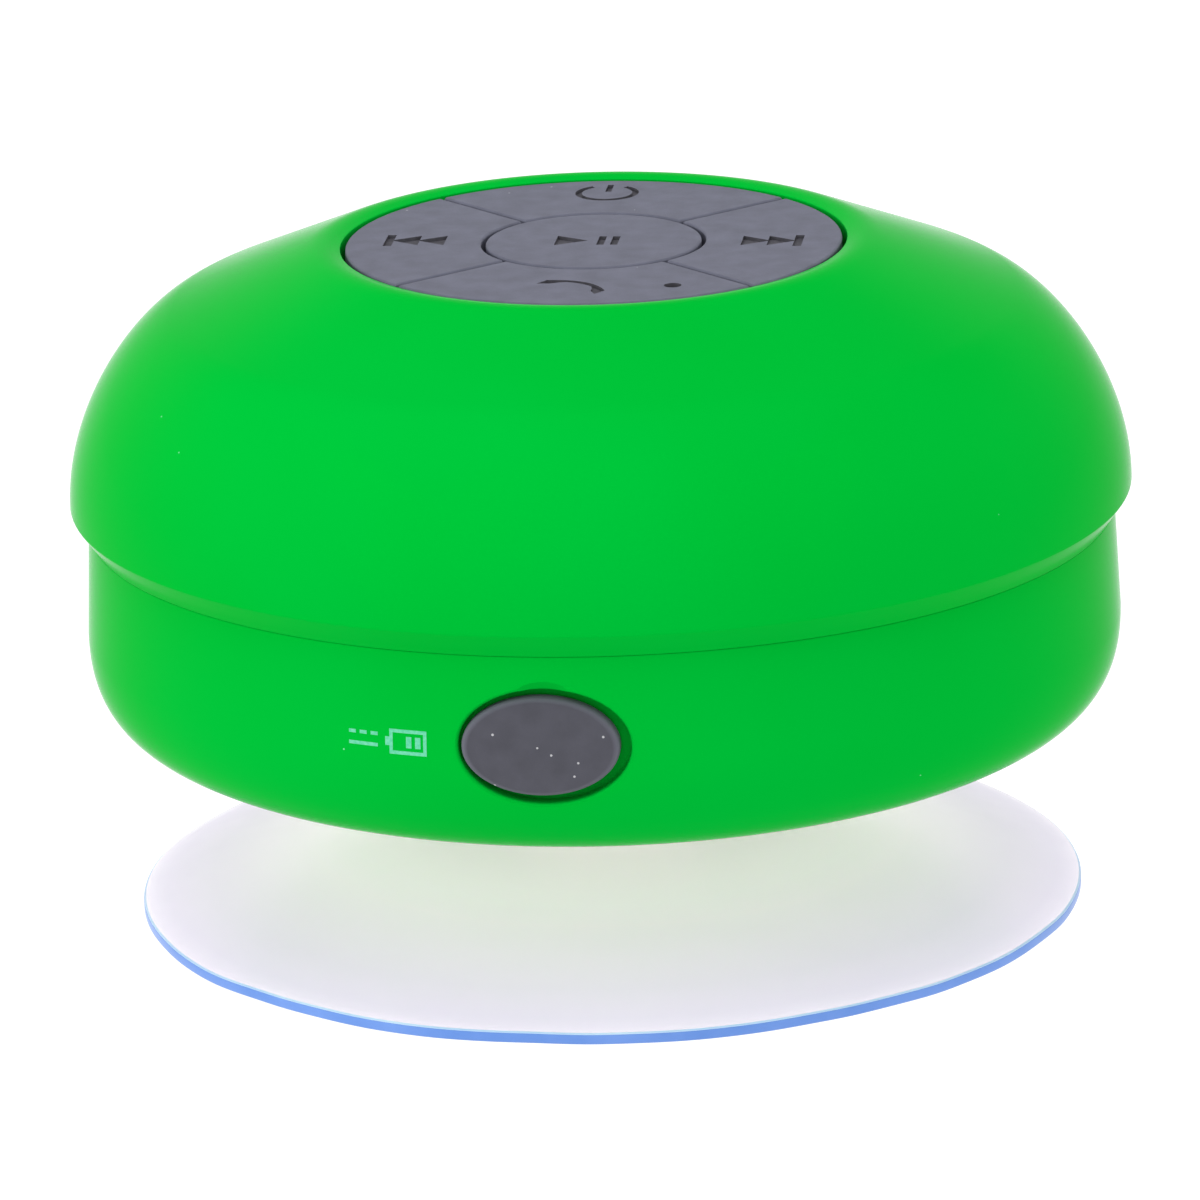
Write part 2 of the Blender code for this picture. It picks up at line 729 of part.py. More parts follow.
def main_board(parent):
    outline = ((-16.0, -23.8), (-16.0, -31.5), (-10.5, -36.8), (10.5, -36.8), (16.0, -31.5), (16.0, -23.8))
    board_mesh = bmesh.new()
    add_prism(board_mesh, outline, MAIN_BOARD_Z, MAIN_BOARD_TOP_Z)
    board = piece("main_board", board_mesh, circuit_board(), parent)
    holes = bmesh.new()
    for number, centre in enumerate(MAIN_SCREWS, 1):
        add_turned(holes, rod_outline(1.1, MAIN_BOARD_Z - 1, MAIN_BOARD_TOP_Z + 1), SCREW_SIDES, centre)
        head = (1.8, MAIN_BOARD_TOP_Z + GAP, MAIN_BOARD_TOP_Z + 1.6)
        screw(f"main_board_screw_{number}", centre, head, (0.75, 18.6, 0.0), parent)
    combine(board, tool("main_board_holes", holes, parent), "DIFFERENCE")
    on_top = MAIN_BOARD_TOP_Z + GAP
    chip("bluetooth_chip", (3.0, -27.2), (6.0, 6.0, 1.2), on_top, black_plastic(), parent)
    chip("amplifier_chip", (-4.5, -27.0), (5.0, 4.0, 1.4), on_top, black_plastic(), parent)
    chip("battery_connector", (11.5, -25.6), (5.0, 3.4, 3.2), on_top, white_plastic(), parent)
    usb_socket(on_top, parent)


def chip(name, centre, size, low, look, parent):
    bm = bmesh.new()
    corner = (centre[0] - size[0] / 2, centre[1] - size[1] / 2, low)
    far = (centre[0] + size[0] / 2, centre[1] + size[1] / 2, low + size[2])
    add_box(bm, corner, far)
    piece(name, bm, look, parent)


def usb_socket(low, parent):
    """Metal shell of the charging socket, open towards the port."""
    high = low + 2.6
    front = -37.2
    back = -32.2
    bm = bmesh.new()
    add_box(bm, (-3.75, front, low), (3.75, back, high))
    shell = piece("usb_socket", bm, steel(), parent)
    cavity = bmesh.new()
    add_box(cavity, (-3.35, front - 1, low + 0.4), (3.35, back - 0.8, high - 0.4))
    combine(shell, tool("usb_cavity", cavity, parent), "DIFFERENCE")


# -------------------------------------------------------------- loudspeaker

def driver_frame(parent):
    """Pressed basket: flange, sloping wall with windows, and the plate seat."""
    flange_top = FLANGE_Z + 1.2
    seat = PLATE_Z - GAP
    outline = [
        (DRIVER_RING[0], FLANGE_Z),
        (DRIVER_RING[1] - 0.2, FLANGE_Z),
        (DRIVER_RING[1] - 0.2, flange_top),
        (19.0, flange_top),
        (15.4, seat - 0.6),
        (15.4, seat),
        (9.0, seat),
        (9.0, seat - 0.6),
        (14.6, seat - 0.6),
        (DRIVER_RING[0], flange_top),
    ]
    frame = turned_piece("driver_frame", outline, INNER_SIDES, steel(), parent)
    cuts = bmesh.new()
    for angle in three_angles():
        centre = on_circle(DRIVER_SCREW_RING, angle)
        add_turned(cuts, rod_outline(1.1, FLANGE_Z - 1, flange_top + 1), SCREW_SIDES, centre)
        window = Matrix.Rotation(angle + radians(60), 4, "Z")
        outline = ((12.0, -5.0), (22.0, -5.0), (22.0, 5.0), (12.0, 5.0))
        add_prism(cuts, outline, flange_top + 1.2, seat - 2.0, window)
    combine(frame, tool("driver_cuts", cuts, parent), "DIFFERENCE")


def cone_body(parent):
    """Everything that moves with the sound: coil, cone and dust cap."""
    frame = empty("cone_slide", (0.0, 0.0, FLANGE_Z), parent)
    turned_piece("voice_coil", tube_outline(*COIL_RADII, 25.2, 33.0), INNER_SIDES, copper(), frame)
    edge_z = FLANGE_Z + 1.3
    neck_z = 24.9
    skin = 0.45
    cone = [
        (CONE_EDGE, edge_z),
        (CONE_EDGE, edge_z + skin),
        (10.4, 23.6),
        (COIL_RADII[1], neck_z),
        (COIL_RADII[0], neck_z),
        (COIL_RADII[0], neck_z - skin),
        (10.2, 23.6 - skin),
    ]
    turned_piece("speaker_cone", cone, INNER_SIDES, pulp(), frame)
    cap = COIL_RADII[0] - 0.3
    top_z = neck_z - 0.6
    dust_cap = [
        (0.0, top_z - 2.0),
        (cap * 0.6, top_z - 1.6),
        (cap, top_z - 0.4),
        (cap, top_z),
        (cap * 0.6, top_z - 1.1),
        (0.0, top_z - 1.5),
    ]
    turned_piece("dust_cap", dust_cap, INNER_SIDES, pulp(), frame)


def half_roll(inner, outer, z, height, skin, points):
    """A ring whose section is a half round, bulging down."""
    middle = (inner + outer) / 2
    half = (outer - inner) / 2
    under = []
    over = []
    for i in range(points):
        angle = pi * i / (points - 1)
        bulge = sin(angle)
        under.append((middle + half * cos(angle), z - height * bulge - skin))
        over.append((middle + half * cos(angle), z - height * bulge))
    return under + over[::-1]


def driver(parent):
    driver_frame(parent)
    turned_piece("driver_front_plate", tube_outline(7.4, 14.0, PLATE_Z, PLATE_Z + 2.0), INNER_SIDES,
                 steel(), parent)
    turned_piece("driver_magnet", tube_outline(9.0, 15.0, MAGNET_Z, MAGNET_Z + 5.0), INNER_SIDES,
                 ferrite(), parent)
    yoke = [(0.0, PLATE_Z), (5.9, PLATE_Z), (5.9, YOKE_Z), (14.0, YOKE_Z), (14.0, YOKE_TOP_Z),
            (0.0, YOKE_TOP_Z)]
    turned_piece("driver_yoke", yoke, INNER_SIDES, steel(), parent)
    roll = half_roll(CONE_EDGE + GAP, DRIVER_RING[0] - GAP, FLANGE_Z + 1.5, 0.9, 0.35, 5)
    turned_piece("cone_surround", roll, INNER_SIDES, dark_rubber(), parent)
    spider = half_roll(COIL_RADII[1] + GAP, 14.0, PLATE_Z - 1.3, 0.7, 0.3, 5)
    turned_piece("cone_spider", spider, INNER_SIDES, pulp(), parent)
    cone_body(parent)
    head = (1.5, FLANGE_Z + 1.5, FLANGE_Z + 2.6)
    for number, angle in enumerate(three_angles(), 1):
        centre = on_circle(DRIVER_SCREW_RING, angle)
        screw(f"driver_screw_{number}", centre, head, (0.7, 17.6, 0.0), parent)
    mesh = tube_outline(11.8, DRIVER_RING[0] - GAP, FLOOR_TOP_Z + GAP, FLOOR_TOP_Z + GAP + 0.3)
    turned_piece("acoustic_mesh", mesh, INNER_SIDES, dark_rubber(), parent)


# ------------------------------------------------------------------ battery

def battery(parent):
    pad_low = YOKE_TOP_Z + 0.2
    pad = bmesh.new()
    add_box(pad, (-12.0, -8.0, pad_low), (12.0, 8.0, pad_low + 0.9))
    piece("battery_pad", pad, dark_rubber(), parent)
    low = pad_low + 1.1
    cell = bmesh.new()
    add_box(cell, (-17.5, -10.0, low), (17.5, 10.0, low + 5.0))
    made = piece("battery", cell, cell_wrap(), parent)
    soften = made.modifiers.new("soft_edges", "BEVEL")
    soften.width = 1.2 * MM
    soften.segments = 2


# -------------------------------------------------------------------- leads

def lead(name, route, radius, look, parent):
    """A wire along a smooth curve through a few route points."""
    curve = bpy.data.curves.new(name, "CURVE")
    curve.dimensions = "3D"
    curve.bevel_depth = radius * MM
    curve.bevel_resolution = 0
    curve.use_fill_caps = True
    points = smooth_route(route, 3)
    spline = curve.splines.new("POLY")
    spline.points.add(len(points) - 1)
    origin = parent.matrix_world.translation
    for target, place in zip(spline.points, points):
        target.co = (*(Vector(place) * MM - origin), 1.0)
    curve.materials.append(look)
    made = bpy.data.objects.new(name, curve)
    made.parent = parent
    bpy.context.collection.objects.link(made)


def smooth_route(route, steps):
    """A Catmull-Rom curve through the route's points."""
    padded = [route[0], *route, route[-1]]
    points = []
    for before, start, end, after in zip(padded, padded[1:], padded[2:], padded[3:]):
        lead_out = Vector(start) + (Vector(end) - Vector(before)) / 6
        lead_in = Vector(end) - (Vector(after) - Vector(start)) / 6
        stretch = interpolate_bezier(Vector(start), lead_out, lead_in, Vector(end), steps + 1)
        points.extend(stretch[:-1])
    points.append(Vector(route[-1]))
    return points


def ribbon(parent):
    """Flat cable from the main board up to the key board."""
    half_width = 4.0
    thick = 0.3
    route = [(-30.8, 25.6), (-29.4, 29.0), (-25.5, 34.0), (-22.4, 40.0), (-21.0, 46.5)]
    middle = [(p.x, p.y) for p in smooth_route([(y, z, 0.0) for y, z in route], 3)]
    front = []
    back = []
    for i, (y, z) in enumerate(middle):
        before = Vector(middle[max(i - 1, 0)])
        after = Vector(middle[min(i + 1, len(middle) - 1)])
        along = (after - before).normalized()
        front.append((y - along.y * thick / 2, z + along.x * thick / 2))
        back.append((y + along.y * thick / 2, z - along.x * thick / 2))
    outline = front + back[::-1]
    bm = bmesh.new()
    sideways = Matrix(((0, 0, 1, 0), (1, 0, 0, 0), (0, 1, 0, 0), (0, 0, 0, 1)))
    add_prism(bm, outline, -half_width, half_width, sideways)
    piece("key_ribbon", bm, white_plastic(), parent)


def wiring(parent):
    ribbon(parent)
    battery_route = [(14.4, -25.6, 26.0), (17.0, -23.4, 28.0), (20.0, -17.5, 32.5), (22.4, -11.0, 38.5),
                     (21.8, -5.0, 42.4), (18.1, -4.0, 42.7)]
    lead("battery_lead", battery_route, 0.7, red_lead(), parent)
    driver_route = [(-12.0, -25.4, 25.2), (-14.6, -24.4, 27.0), (-18.4, -18.6, 28.2), (-20.2, -12.0, 27.4),
                    (-20.0, -6.0, 24.6), (-19.9, -3.0, 22.2)]
    lead("driver_lead", driver_route, 0.7, black_plastic(), parent)


# --------------------------------------------------------------------- main

def clear_scene():
    for old in list(bpy.data.objects):
        bpy.data.objects.remove(old, do_unlink=True)


def main():
    clear_scene()
    wall = empty("wall_side", (0.0, 0.0, 0.0))
    press = empty("press_slide", (0.0, 0.0, CUP_NECK_TOP_Z), wall)
    swivel = empty("swivel_axis", (0.0, 0.0, CUP_NECK_TOP_Z), press)
    cup_and_stud(wall, press)
    case(swivel)
    centres = keypad(swivel)
    key_board(centres, swivel)
    port_plug(swivel)
    port_tether(swivel)
    main_board(swivel)
    driver(swivel)
    battery(swivel)
    wiring(swivel)


main()
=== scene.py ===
"""Looks of the dome shower speaker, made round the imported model.

Lengths are millimetres until a mesh is made. The case, the keys, the plug and
the suction cup get fine surfaces of their own. The pieces inside keep the
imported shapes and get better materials.
"""

import json
from math import cos, radians, sin, sqrt, tau

import bmesh
import bpy
from mathutils import Matrix, Vector, noise
from mathutils.geometry import interpolate_bezier

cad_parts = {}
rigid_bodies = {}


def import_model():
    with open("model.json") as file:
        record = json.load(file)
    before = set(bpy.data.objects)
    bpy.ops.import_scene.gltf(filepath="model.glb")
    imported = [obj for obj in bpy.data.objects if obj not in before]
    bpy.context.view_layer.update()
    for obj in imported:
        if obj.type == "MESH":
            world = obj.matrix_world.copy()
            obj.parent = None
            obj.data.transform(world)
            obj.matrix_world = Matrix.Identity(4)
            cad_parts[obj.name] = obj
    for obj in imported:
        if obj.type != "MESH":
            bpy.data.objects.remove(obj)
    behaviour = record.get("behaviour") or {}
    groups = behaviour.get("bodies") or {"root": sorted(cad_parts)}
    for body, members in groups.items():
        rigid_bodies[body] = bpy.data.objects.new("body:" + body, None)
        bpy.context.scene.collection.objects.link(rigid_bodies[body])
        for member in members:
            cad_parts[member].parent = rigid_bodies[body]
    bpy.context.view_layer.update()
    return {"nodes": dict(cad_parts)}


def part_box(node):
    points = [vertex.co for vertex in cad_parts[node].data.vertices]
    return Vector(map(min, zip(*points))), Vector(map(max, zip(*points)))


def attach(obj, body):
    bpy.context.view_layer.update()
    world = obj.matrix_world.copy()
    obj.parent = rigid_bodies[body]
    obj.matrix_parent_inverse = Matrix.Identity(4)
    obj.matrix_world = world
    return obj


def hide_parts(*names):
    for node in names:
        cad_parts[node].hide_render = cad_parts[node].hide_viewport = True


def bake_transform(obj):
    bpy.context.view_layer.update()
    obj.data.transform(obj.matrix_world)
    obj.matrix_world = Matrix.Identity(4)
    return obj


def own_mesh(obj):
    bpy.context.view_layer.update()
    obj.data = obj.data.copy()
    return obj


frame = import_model()

MM = 0.001
FINE_SIDES = 180


def box_mm(node):
    """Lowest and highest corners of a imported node, in millimetres."""
    low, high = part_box(node)
    return low / MM, high / MM


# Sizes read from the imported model.
RIM_RADIUS = box_mm("dome_shell")[1].x
BASE_RADIUS = box_mm("base_shell")[1].x
FLOOR_Z = box_mm("base_shell")[0].z
TONGUE_TOP_Z = box_mm("base_shell")[1].z
CUP_RADIUS = box_mm("suction_cup")[1].x
CUP_NECK_TOP_Z = box_mm("suction_cup")[1].z
KEY_TOP_Z = box_mm("key_play_pause")[1].z
CENTRE_KEY_RADIUS = box_mm("key_play_pause")[1].x
KEYPAD_RADIUS = box_mm("key_next")[1].x
PLUG_LOW, PLUG_HIGH = box_mm("port_plug")
PORT_Z = (PLUG_LOW.z + PLUG_HIGH.z) / 2
PLUG_X = (PLUG_LOW.x + PLUG_HIGH.x) / 2
PLUG_HALF = ((PLUG_HIGH.x - PLUG_LOW.x) / 2, (PLUG_HIGH.z - PLUG_LOW.z) / 2)
PLUG_FACE_Y = PLUG_LOW.y
BUNG_TIP_Y = PLUG_HIGH.y

# The case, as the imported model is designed.
GAP = 0.3
WALL = 2.0
RIM_Z = 34.9
BASE_WAIST_Z = 24.05
BASE_TOP_RADIUS = 41.6
BASE_TOP_Z = 32.65
FLOOR_TOP_Z = FLOOR_Z + WALL
FLOOR_RADIUS = 30.0
DOME_FOOT_Z = 32.95
TONGUE_OUTER = 39.9
TONGUE_THICK = 1.2
TONGUE_FOOT_Z = 29.0
GASKET_GROOVE = (40.2, 41.0, 0.8)
CROWN_SLOPE = radians(22.0)
CROWN_FALL = 0.404
CROWN_START = (22.8, 55.12)
CROWN_STRAIGHT_END = 34.0
LIP_EDGE_Z = 55.1
RECESS_RADIUS = 20.4
LEDGE_TOP_Z = 50.6
LEDGE_Z = 49.0
LEDGE_INNER = 18.6
LEDGE_SLOPE = ((24.0, 52.4), (22.6, LEDGE_Z))
CASE_SCREW_RING = 33.0
CASE_SCREW_HEAD_TOP_Z = 20.0

# Thin edges that reach into the seam, so that it shows as a fine line.
DOME_FOOT_LIP = 0.11
BASE_TOP_LIP = 0.16

# The keypad.
KEY_GROOVE = 0.35
KEY_THICK = 2.15
KEY_RING = 14.6
STEM_RADIUS = 1.5
MIC_RING = 16.2
MIC_ANGLE = radians(-61.0)
MIC_HOLE = 0.7
ICON_DEPTH = 0.3
POWER_CENTRE_X = -0.65
CALL_CENTRE = (0.5, -13.7)
CALL_TURN = radians(-33)

# The suction cup.
CUP_LAND = 1.1
CUP_EDGE = 0.9
CUP_HOLLOW = 6.0
CUP_CROWN = 8.2
CUP_NECK_RADIUS = 8.5
CUP_SOCKET_RADIUS = 3.5
CUP_SOCKET_Z = 8.0
CUP_THIN_RADIUS = 26.0

# The charging port.
RECESS_HALF = (6.7, 4.6)
OVAL_SIDES = 96
RECESS_FLOOR_Y = -40.0
PLUG_BACK_Y = -40.4
BUNG_HALF = (3.5, 1.1)
TETHER_X = -5.6

# The driver, the sound slots and the screws of the boards.
SCREW_BOARD_RING = 20.3
DRIVER_RING = (18.2, 22.9)
DRIVER_RING_TOP_Z = 19.2
DRIVER_SCREW_RING = 21.0
SOUND_SLOTS = 10
MAIN_SCREWS = ((-12.0, -30.0), (12.0, -30.0))


# ------------------------------------------------------------------ outlines

def on_circle(radius, angle):
    return (radius * cos(angle), radius * sin(angle))


def arc(centre, radius, start, end, points):
    """Points along a circular arc, angles in degrees."""
    step = (end - start) / (points - 1)
    angles = [radians(start + step * i) for i in range(points)]
    return [(centre[0] + radius * cos(a), centre[1] + radius * sin(a)) for a in angles]


def bezier(start, start_handle, end_handle, end, points):
    corners = [Vector((x, y, 0.0)) for x, y in (start, start_handle, end_handle, end)]
    return [(p.x, p.y) for p in interpolate_bezier(*corners, points)]


def straight(start, end, points):
    """Evenly spaced points from start to end."""
    shares = [i / (points - 1) for i in range(points)]
    return [(start[0] + (end[0] - start[0]) * s, start[1] + (end[1] - start[1]) * s) for s in shares]


def ellipse(half_x, half_y, sides, centre=(0.0, 0.0)):
    steps = [tau * i / sides for i in range(sides)]
    return [(centre[0] + half_x * cos(a), centre[1] + half_y * sin(a)) for a in steps]


def rounded_box(half_x, half_y, corner, steps, centre=(0.0, 0.0)):
    """A rectangle with round corners, as a closed outline."""
    points = []
    for quarter in range(4):
        side_x = 1 if quarter in (0, 3) else -1
        side_y = 1 if quarter in (0, 1) else -1
        middle = (centre[0] + side_x * (half_x - corner), centre[1] + side_y * (half_y - corner))
        points.extend(arc(middle, corner, 90 * quarter, 90 * quarter + 90, steps))
    return points


def four_angles():
    return [radians(45 + 90 * quarter) for quarter in range(4)]


def three_angles():
    return [radians(90 + 120 * third) for third in range(3)]


# -------------------------------------------------------------------- meshes

def close_up(bm):
    bmesh.ops.remove_doubles(bm, verts=bm.verts, dist=1e-7)
    bmesh.ops.recalc_face_normals(bm, faces=bm.faces)


def add_turned(bm, outline, sides, centre=(0.0, 0.0), shape=None):
    """Turn a (radius, height) outline round a vertical axis through centre.

    An outline that starts and ends on the axis makes a solid piece, and any
    other outline is a closed loop. shape may move a point, given as
    (radius, height, angle), and returns its new radius and height.
    """
    rings = []
    for radius, height in outline:
        if radius == 0.0:
            rings.append([bm.verts.new((centre[0] * MM, centre[1] * MM, height * MM))])
            continue
        ring = []
        for side in range(sides):
            angle = tau * side / sides
            r, z = shape(radius, height, angle) if shape else (radius, height)
            x, y = on_circle(r, angle)
            ring.append(bm.verts.new(((centre[0] + x) * MM, (centre[1] + y) * MM, z * MM)))
        rings.append(ring)
    solid = outline[0][0] == 0.0 and outline[-1][0] == 0.0
    following = rings[1:] if solid else rings[1:] + rings[:1]
    for ring, other in zip(rings, following):
        join_rings(bm, ring, other)


def join_rings(bm, ring, other):
    """Faces between two closed rings, of which one may be a single point."""
    count = max(len(ring), len(other))
    for i in range(count):
        j = (i + 1) % count
        corners = [ring[i % len(ring)], ring[j % len(ring)], other[j % len(other)], other[i % len(other)]]
        unique = list(dict.fromkeys(corners))
        if len(unique) > 2:
            bm.faces.new(unique)


def add_loft(bm, rings):
    """A closed solid through rings of (x, y, z) points, with flat ends."""
    made = [[bm.verts.new(Vector(p) * MM) for p in ring] for ring in rings]
    for ring, other in zip(made, made[1:]):
        join_rings(bm, ring, other)
    bm.faces.new(made[0])
    bm.faces.new(made[-1])


def add_prism(bm, outline, low, high, turn=None):
    """Extrude a flat (x, y) outline from low to high, then turn it about Z."""
    frame_turn = turn or Matrix.Identity(3)
    rings = [[frame_turn @ Vector((x, y, z)) for x, y in outline] for z in (low, high)]
    add_loft(bm, rings)


def rod(radius, low, high):
    return [(0.0, low), (radius, low), (radius, high), (0.0, high)]


def object_from(name, bm, *looks):
    close_up(bm)
    mesh = bpy.data.meshes.new(name)
    bm.to_mesh(mesh)
    bm.free()
    for look in looks:
        mesh.materials.append(look)
    made = bpy.data.objects.new(name, mesh)
    bpy.context.scene.collection.objects.link(made)
    return made


def combine(target, bm, operation, look=None):
    """Add a Boolean with a tool made from bm, whose cut faces may have a look of their own."""
    tool = object_from(f"tool_{len(bpy.data.objects)}", bm, look or target.data.materials[0])
    tool.hide_render = True
    change = target.modifiers.new(tool.name, "BOOLEAN")
    change.operation = operation
    change.solver = "EXACT"
    change.material_mode = "TRANSFER"
    change.object = tool
    return tool


def settle(made, sharp=35.0):
    """Apply an object's modifiers, remove its tools, and shade it smooth."""
    graph = bpy.context.evaluated_depsgraph_get()
    mesh = bpy.data.meshes.new_from_object(made.evaluated_get(graph), depsgraph=graph)
    tools = [change.object for change in made.modifiers if change.type == "BOOLEAN"]
    made.modifiers.clear()
    made.data = mesh
    mesh.name = made.name
    for tool in tools:
        bpy.data.objects.remove(tool, do_unlink=True)
    mesh.shade_smooth()
    mesh.set_sharp_from_angle(angle=radians(sharp))
    even = made.modifiers.new("even_normals", "WEIGHTED_NORMAL")
    even.keep_sharp = True
    even.weight = 80


def show(made, body, slot, *nodes):
    """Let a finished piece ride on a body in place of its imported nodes."""
    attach(made, body)
    if nodes:
        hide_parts(*nodes)


# ----------------------------------------------------------------- materials

class Look:
    """A Principled material and short calls for the nodes that feed it."""

    def __init__(self, name, colour, roughness, metallic=0.0, **sockets):
        self.material = bpy.data.materials.new(name)
        self.material.use_nodes = True
        self.tree = self.material.node_tree
        self.shader = self.tree.nodes["Principled BSDF"]
        self.set("Base Color", (*colour, 1.0))
        self.set("Roughness", roughness)
        self.set("Metallic", metallic)
        for socket, value in sockets.items():
            self.set(socket.replace("_", " "), value)
        self.place = self.node("ShaderNodeTexCoord").outputs["Object"]

    def set(self, socket, value):
        self.shader.inputs[socket].default_value = value

    def node(self, kind, **values):
        made = self.tree.nodes.new(kind)
        for name, value in values.items():
            made.inputs[name.replace("_", " ")].default_value = value
        return made

    def link(self, output, target):
        self.tree.links.new(output, target)

    def noise(self, size, detail=3.0, stretch=None):
        """Noise whose features are about size millimetres wide."""
        made = self.node("ShaderNodeTexNoise", Scale=1.0 / (size * MM), Detail=detail)
        self.link(self.stretched(stretch), made.inputs["Vector"])
        return made.outputs["Fac"]

    def stretched(self, stretch):
        if stretch is None:
            return self.place
        mapping = self.node("ShaderNodeMapping", Scale=stretch)
        self.link(self.place, mapping.inputs["Vector"])
        return mapping.outputs["Vector"]

    def ramp(self, value, stops):
        """Colour or grey stops as (position, (r, g, b)) along a value."""
        made = self.node("ShaderNodeValToRGB")
        self.link(value, made.inputs["Fac"])
        elements = made.color_ramp.elements
        while len(elements) < len(stops):
            elements.new(0.5)
        for element, (position, colour) in zip(elements, stops):
            element.position = position
            element.color = (*colour, 1.0)
        return made.outputs["Color"]

    def mixed(self, factor, first, second):
        """First where factor is 0, second where it is 1. Each is a colour or a socket."""
        made = self.tree.nodes.new("ShaderNodeMix")
        made.data_type = "RGBA"
        self.link(factor, made.inputs["Factor"])
        for socket, value in (("A", first), ("B", second)):
            target = [s for s in made.inputs if s.name == socket and s.type == "RGBA"][0]
            if isinstance(value, tuple):
                target.default_value = (*value, 1.0)
            else:
                self.link(value, target)
        return [s for s in made.outputs if s.type == "RGBA"][0]

    def math(self, operation, first, second=0.0):
        made = self.tree.nodes.new("ShaderNodeMath")
        made.operation = operation
        for index, value in enumerate((first, second)):
            if isinstance(value, (int, float)):
                made.inputs[index].default_value = value
            else:
                self.link(value, made.inputs[index])
        return made.outputs["Value"]

    def specks(self, spacing, size, share):
        """1 inside rare small dots, about spacing millimetres apart."""
        made = self.tree.nodes.new("ShaderNodeTexVoronoi")
        made.inputs["Scale"].default_value = 1.0 / (spacing * MM)
        self.link(self.place, made.inputs["Vector"])
        near = self.math("LESS_THAN", made.outputs["Distance"], size / spacing)
        pick = self.tree.nodes.new("ShaderNodeSeparateColor")
        self.link(made.outputs["Color"], pick.inputs["Color"])
        chosen = self.math("LESS_THAN", pick.outputs["Red"], share)
        return self.math("MULTIPLY", near, chosen)

    def colour(self, output):
        self.link(output, self.shader.inputs["Base Color"])

    def roughness(self, value, low, high):
        """Roughness that follows a value from low to high."""
        spread = self.node("ShaderNodeMapRange", To_Min=low, To_Max=high)
        self.link(value, spread.inputs["Value"])
        self.link(spread.outputs["Result"], self.shader.inputs["Roughness"])

    def bump(self, height, depth):
        """Raise the surface by up to depth millimetres where height is 1."""
        made = self.node("ShaderNodeBump", Strength=1.0, Distance=depth * MM)
        self.link(height, made.inputs["Height"])
        self.link(made.outputs["Normal"], self.shader.inputs["Normal"])


def green_shell():
    """Satin soft-touch paint on moulded plastic, with a few grains of dust."""
    look = Look("green_shell", (0.0, 0.41, 0.029), 0.16, Specular_IOR_Level=0.006)
    look.set("Specular Tint", (0.0, 1.0, 0.6, 1.0))
    broad = look.ramp(look.noise(28.0, 2.0), [(0.3, (0.0, 0.402, 0.027)), (0.7, (0.0, 0.416, 0.032))])
    dust = look.specks(2.0, 0.07, 0.05)
    look.colour(look.mixed(dust, broad, (0.20, 0.62, 0.36)))
    grain = look.noise(0.16, 4.0)
    look.roughness(grain, 0.13, 0.18)
    look.bump(grain, 0.002)
    return look.material


def grey_rubber(name, colour, dusty, edge=None):
    """Moulded silicone, mottled, with lint on it."""
    look = Look(name, colour, 0.6, Specular_IOR_Level=0.35)
    paler = tuple(c * 1.13 for c in colour)
    darker = tuple(c * 0.88 for c in colour)
    mottle = look.ramp(look.noise(2.2, 5.0), [(0.3, darker), (0.7, paler)])
    dust = look.specks(1.1, 0.10, dusty)
    if edge:
        # Where a mask is given, the rubber is painted paler there: a painted highlight on the rounded edge,
        # with some dust.
        mottle = look.mixed(edge(look), mottle, tuple(c * 1.8 for c in colour))
    look.colour(look.mixed(dust, mottle, (0.42, 0.42, 0.44)))
    grain = look.noise(0.11, 5.0)
    look.roughness(grain, 0.52, 0.70)
    look.bump(grain, 0.010)
    return look.material


def plug_edge_highlight_and_dust(look):
    """1 where the plug's moulded edge turns over, 0 on its face: the mask for a paler edge that is a
    painted highlight, with some dust.
    """
    split = look.tree.nodes.new("ShaderNodeSeparateXYZ")
    look.link(look.place, split.inputs["Vector"])
    squares = []
    for axis, middle, half in (("X", PLUG_X, PLUG_HALF[0]), ("Z", PORT_Z, PLUG_HALF[1])):
        off = look.math("SUBTRACT", split.outputs[axis], middle * MM)
        share = look.math("DIVIDE", off, half * MM)
        squares.append(look.math("MULTIPLY", share, share))
    reach = look.math("ADD", *squares)
    return look.ramp(reach, [(0.83, (0.0, 0.0, 0.0)), (0.95, (1.0, 1.0, 1.0))])


def icon_shade():
    """The matt, darker floor of the moulded icons: painted shade for the shadow in their shallow recesses.
    """
    look = Look("icon_shade", (0.075, 0.073, 0.086), 0.75, Specular_IOR_Level=0.2)
    look.colour(look.ramp(look.noise(0.5), [(0.3, (0.064, 0.062, 0.073)), (0.7, (0.088, 0.086, 0.100))]))
    look.bump(look.noise(0.1), 0.01)
    return look.material


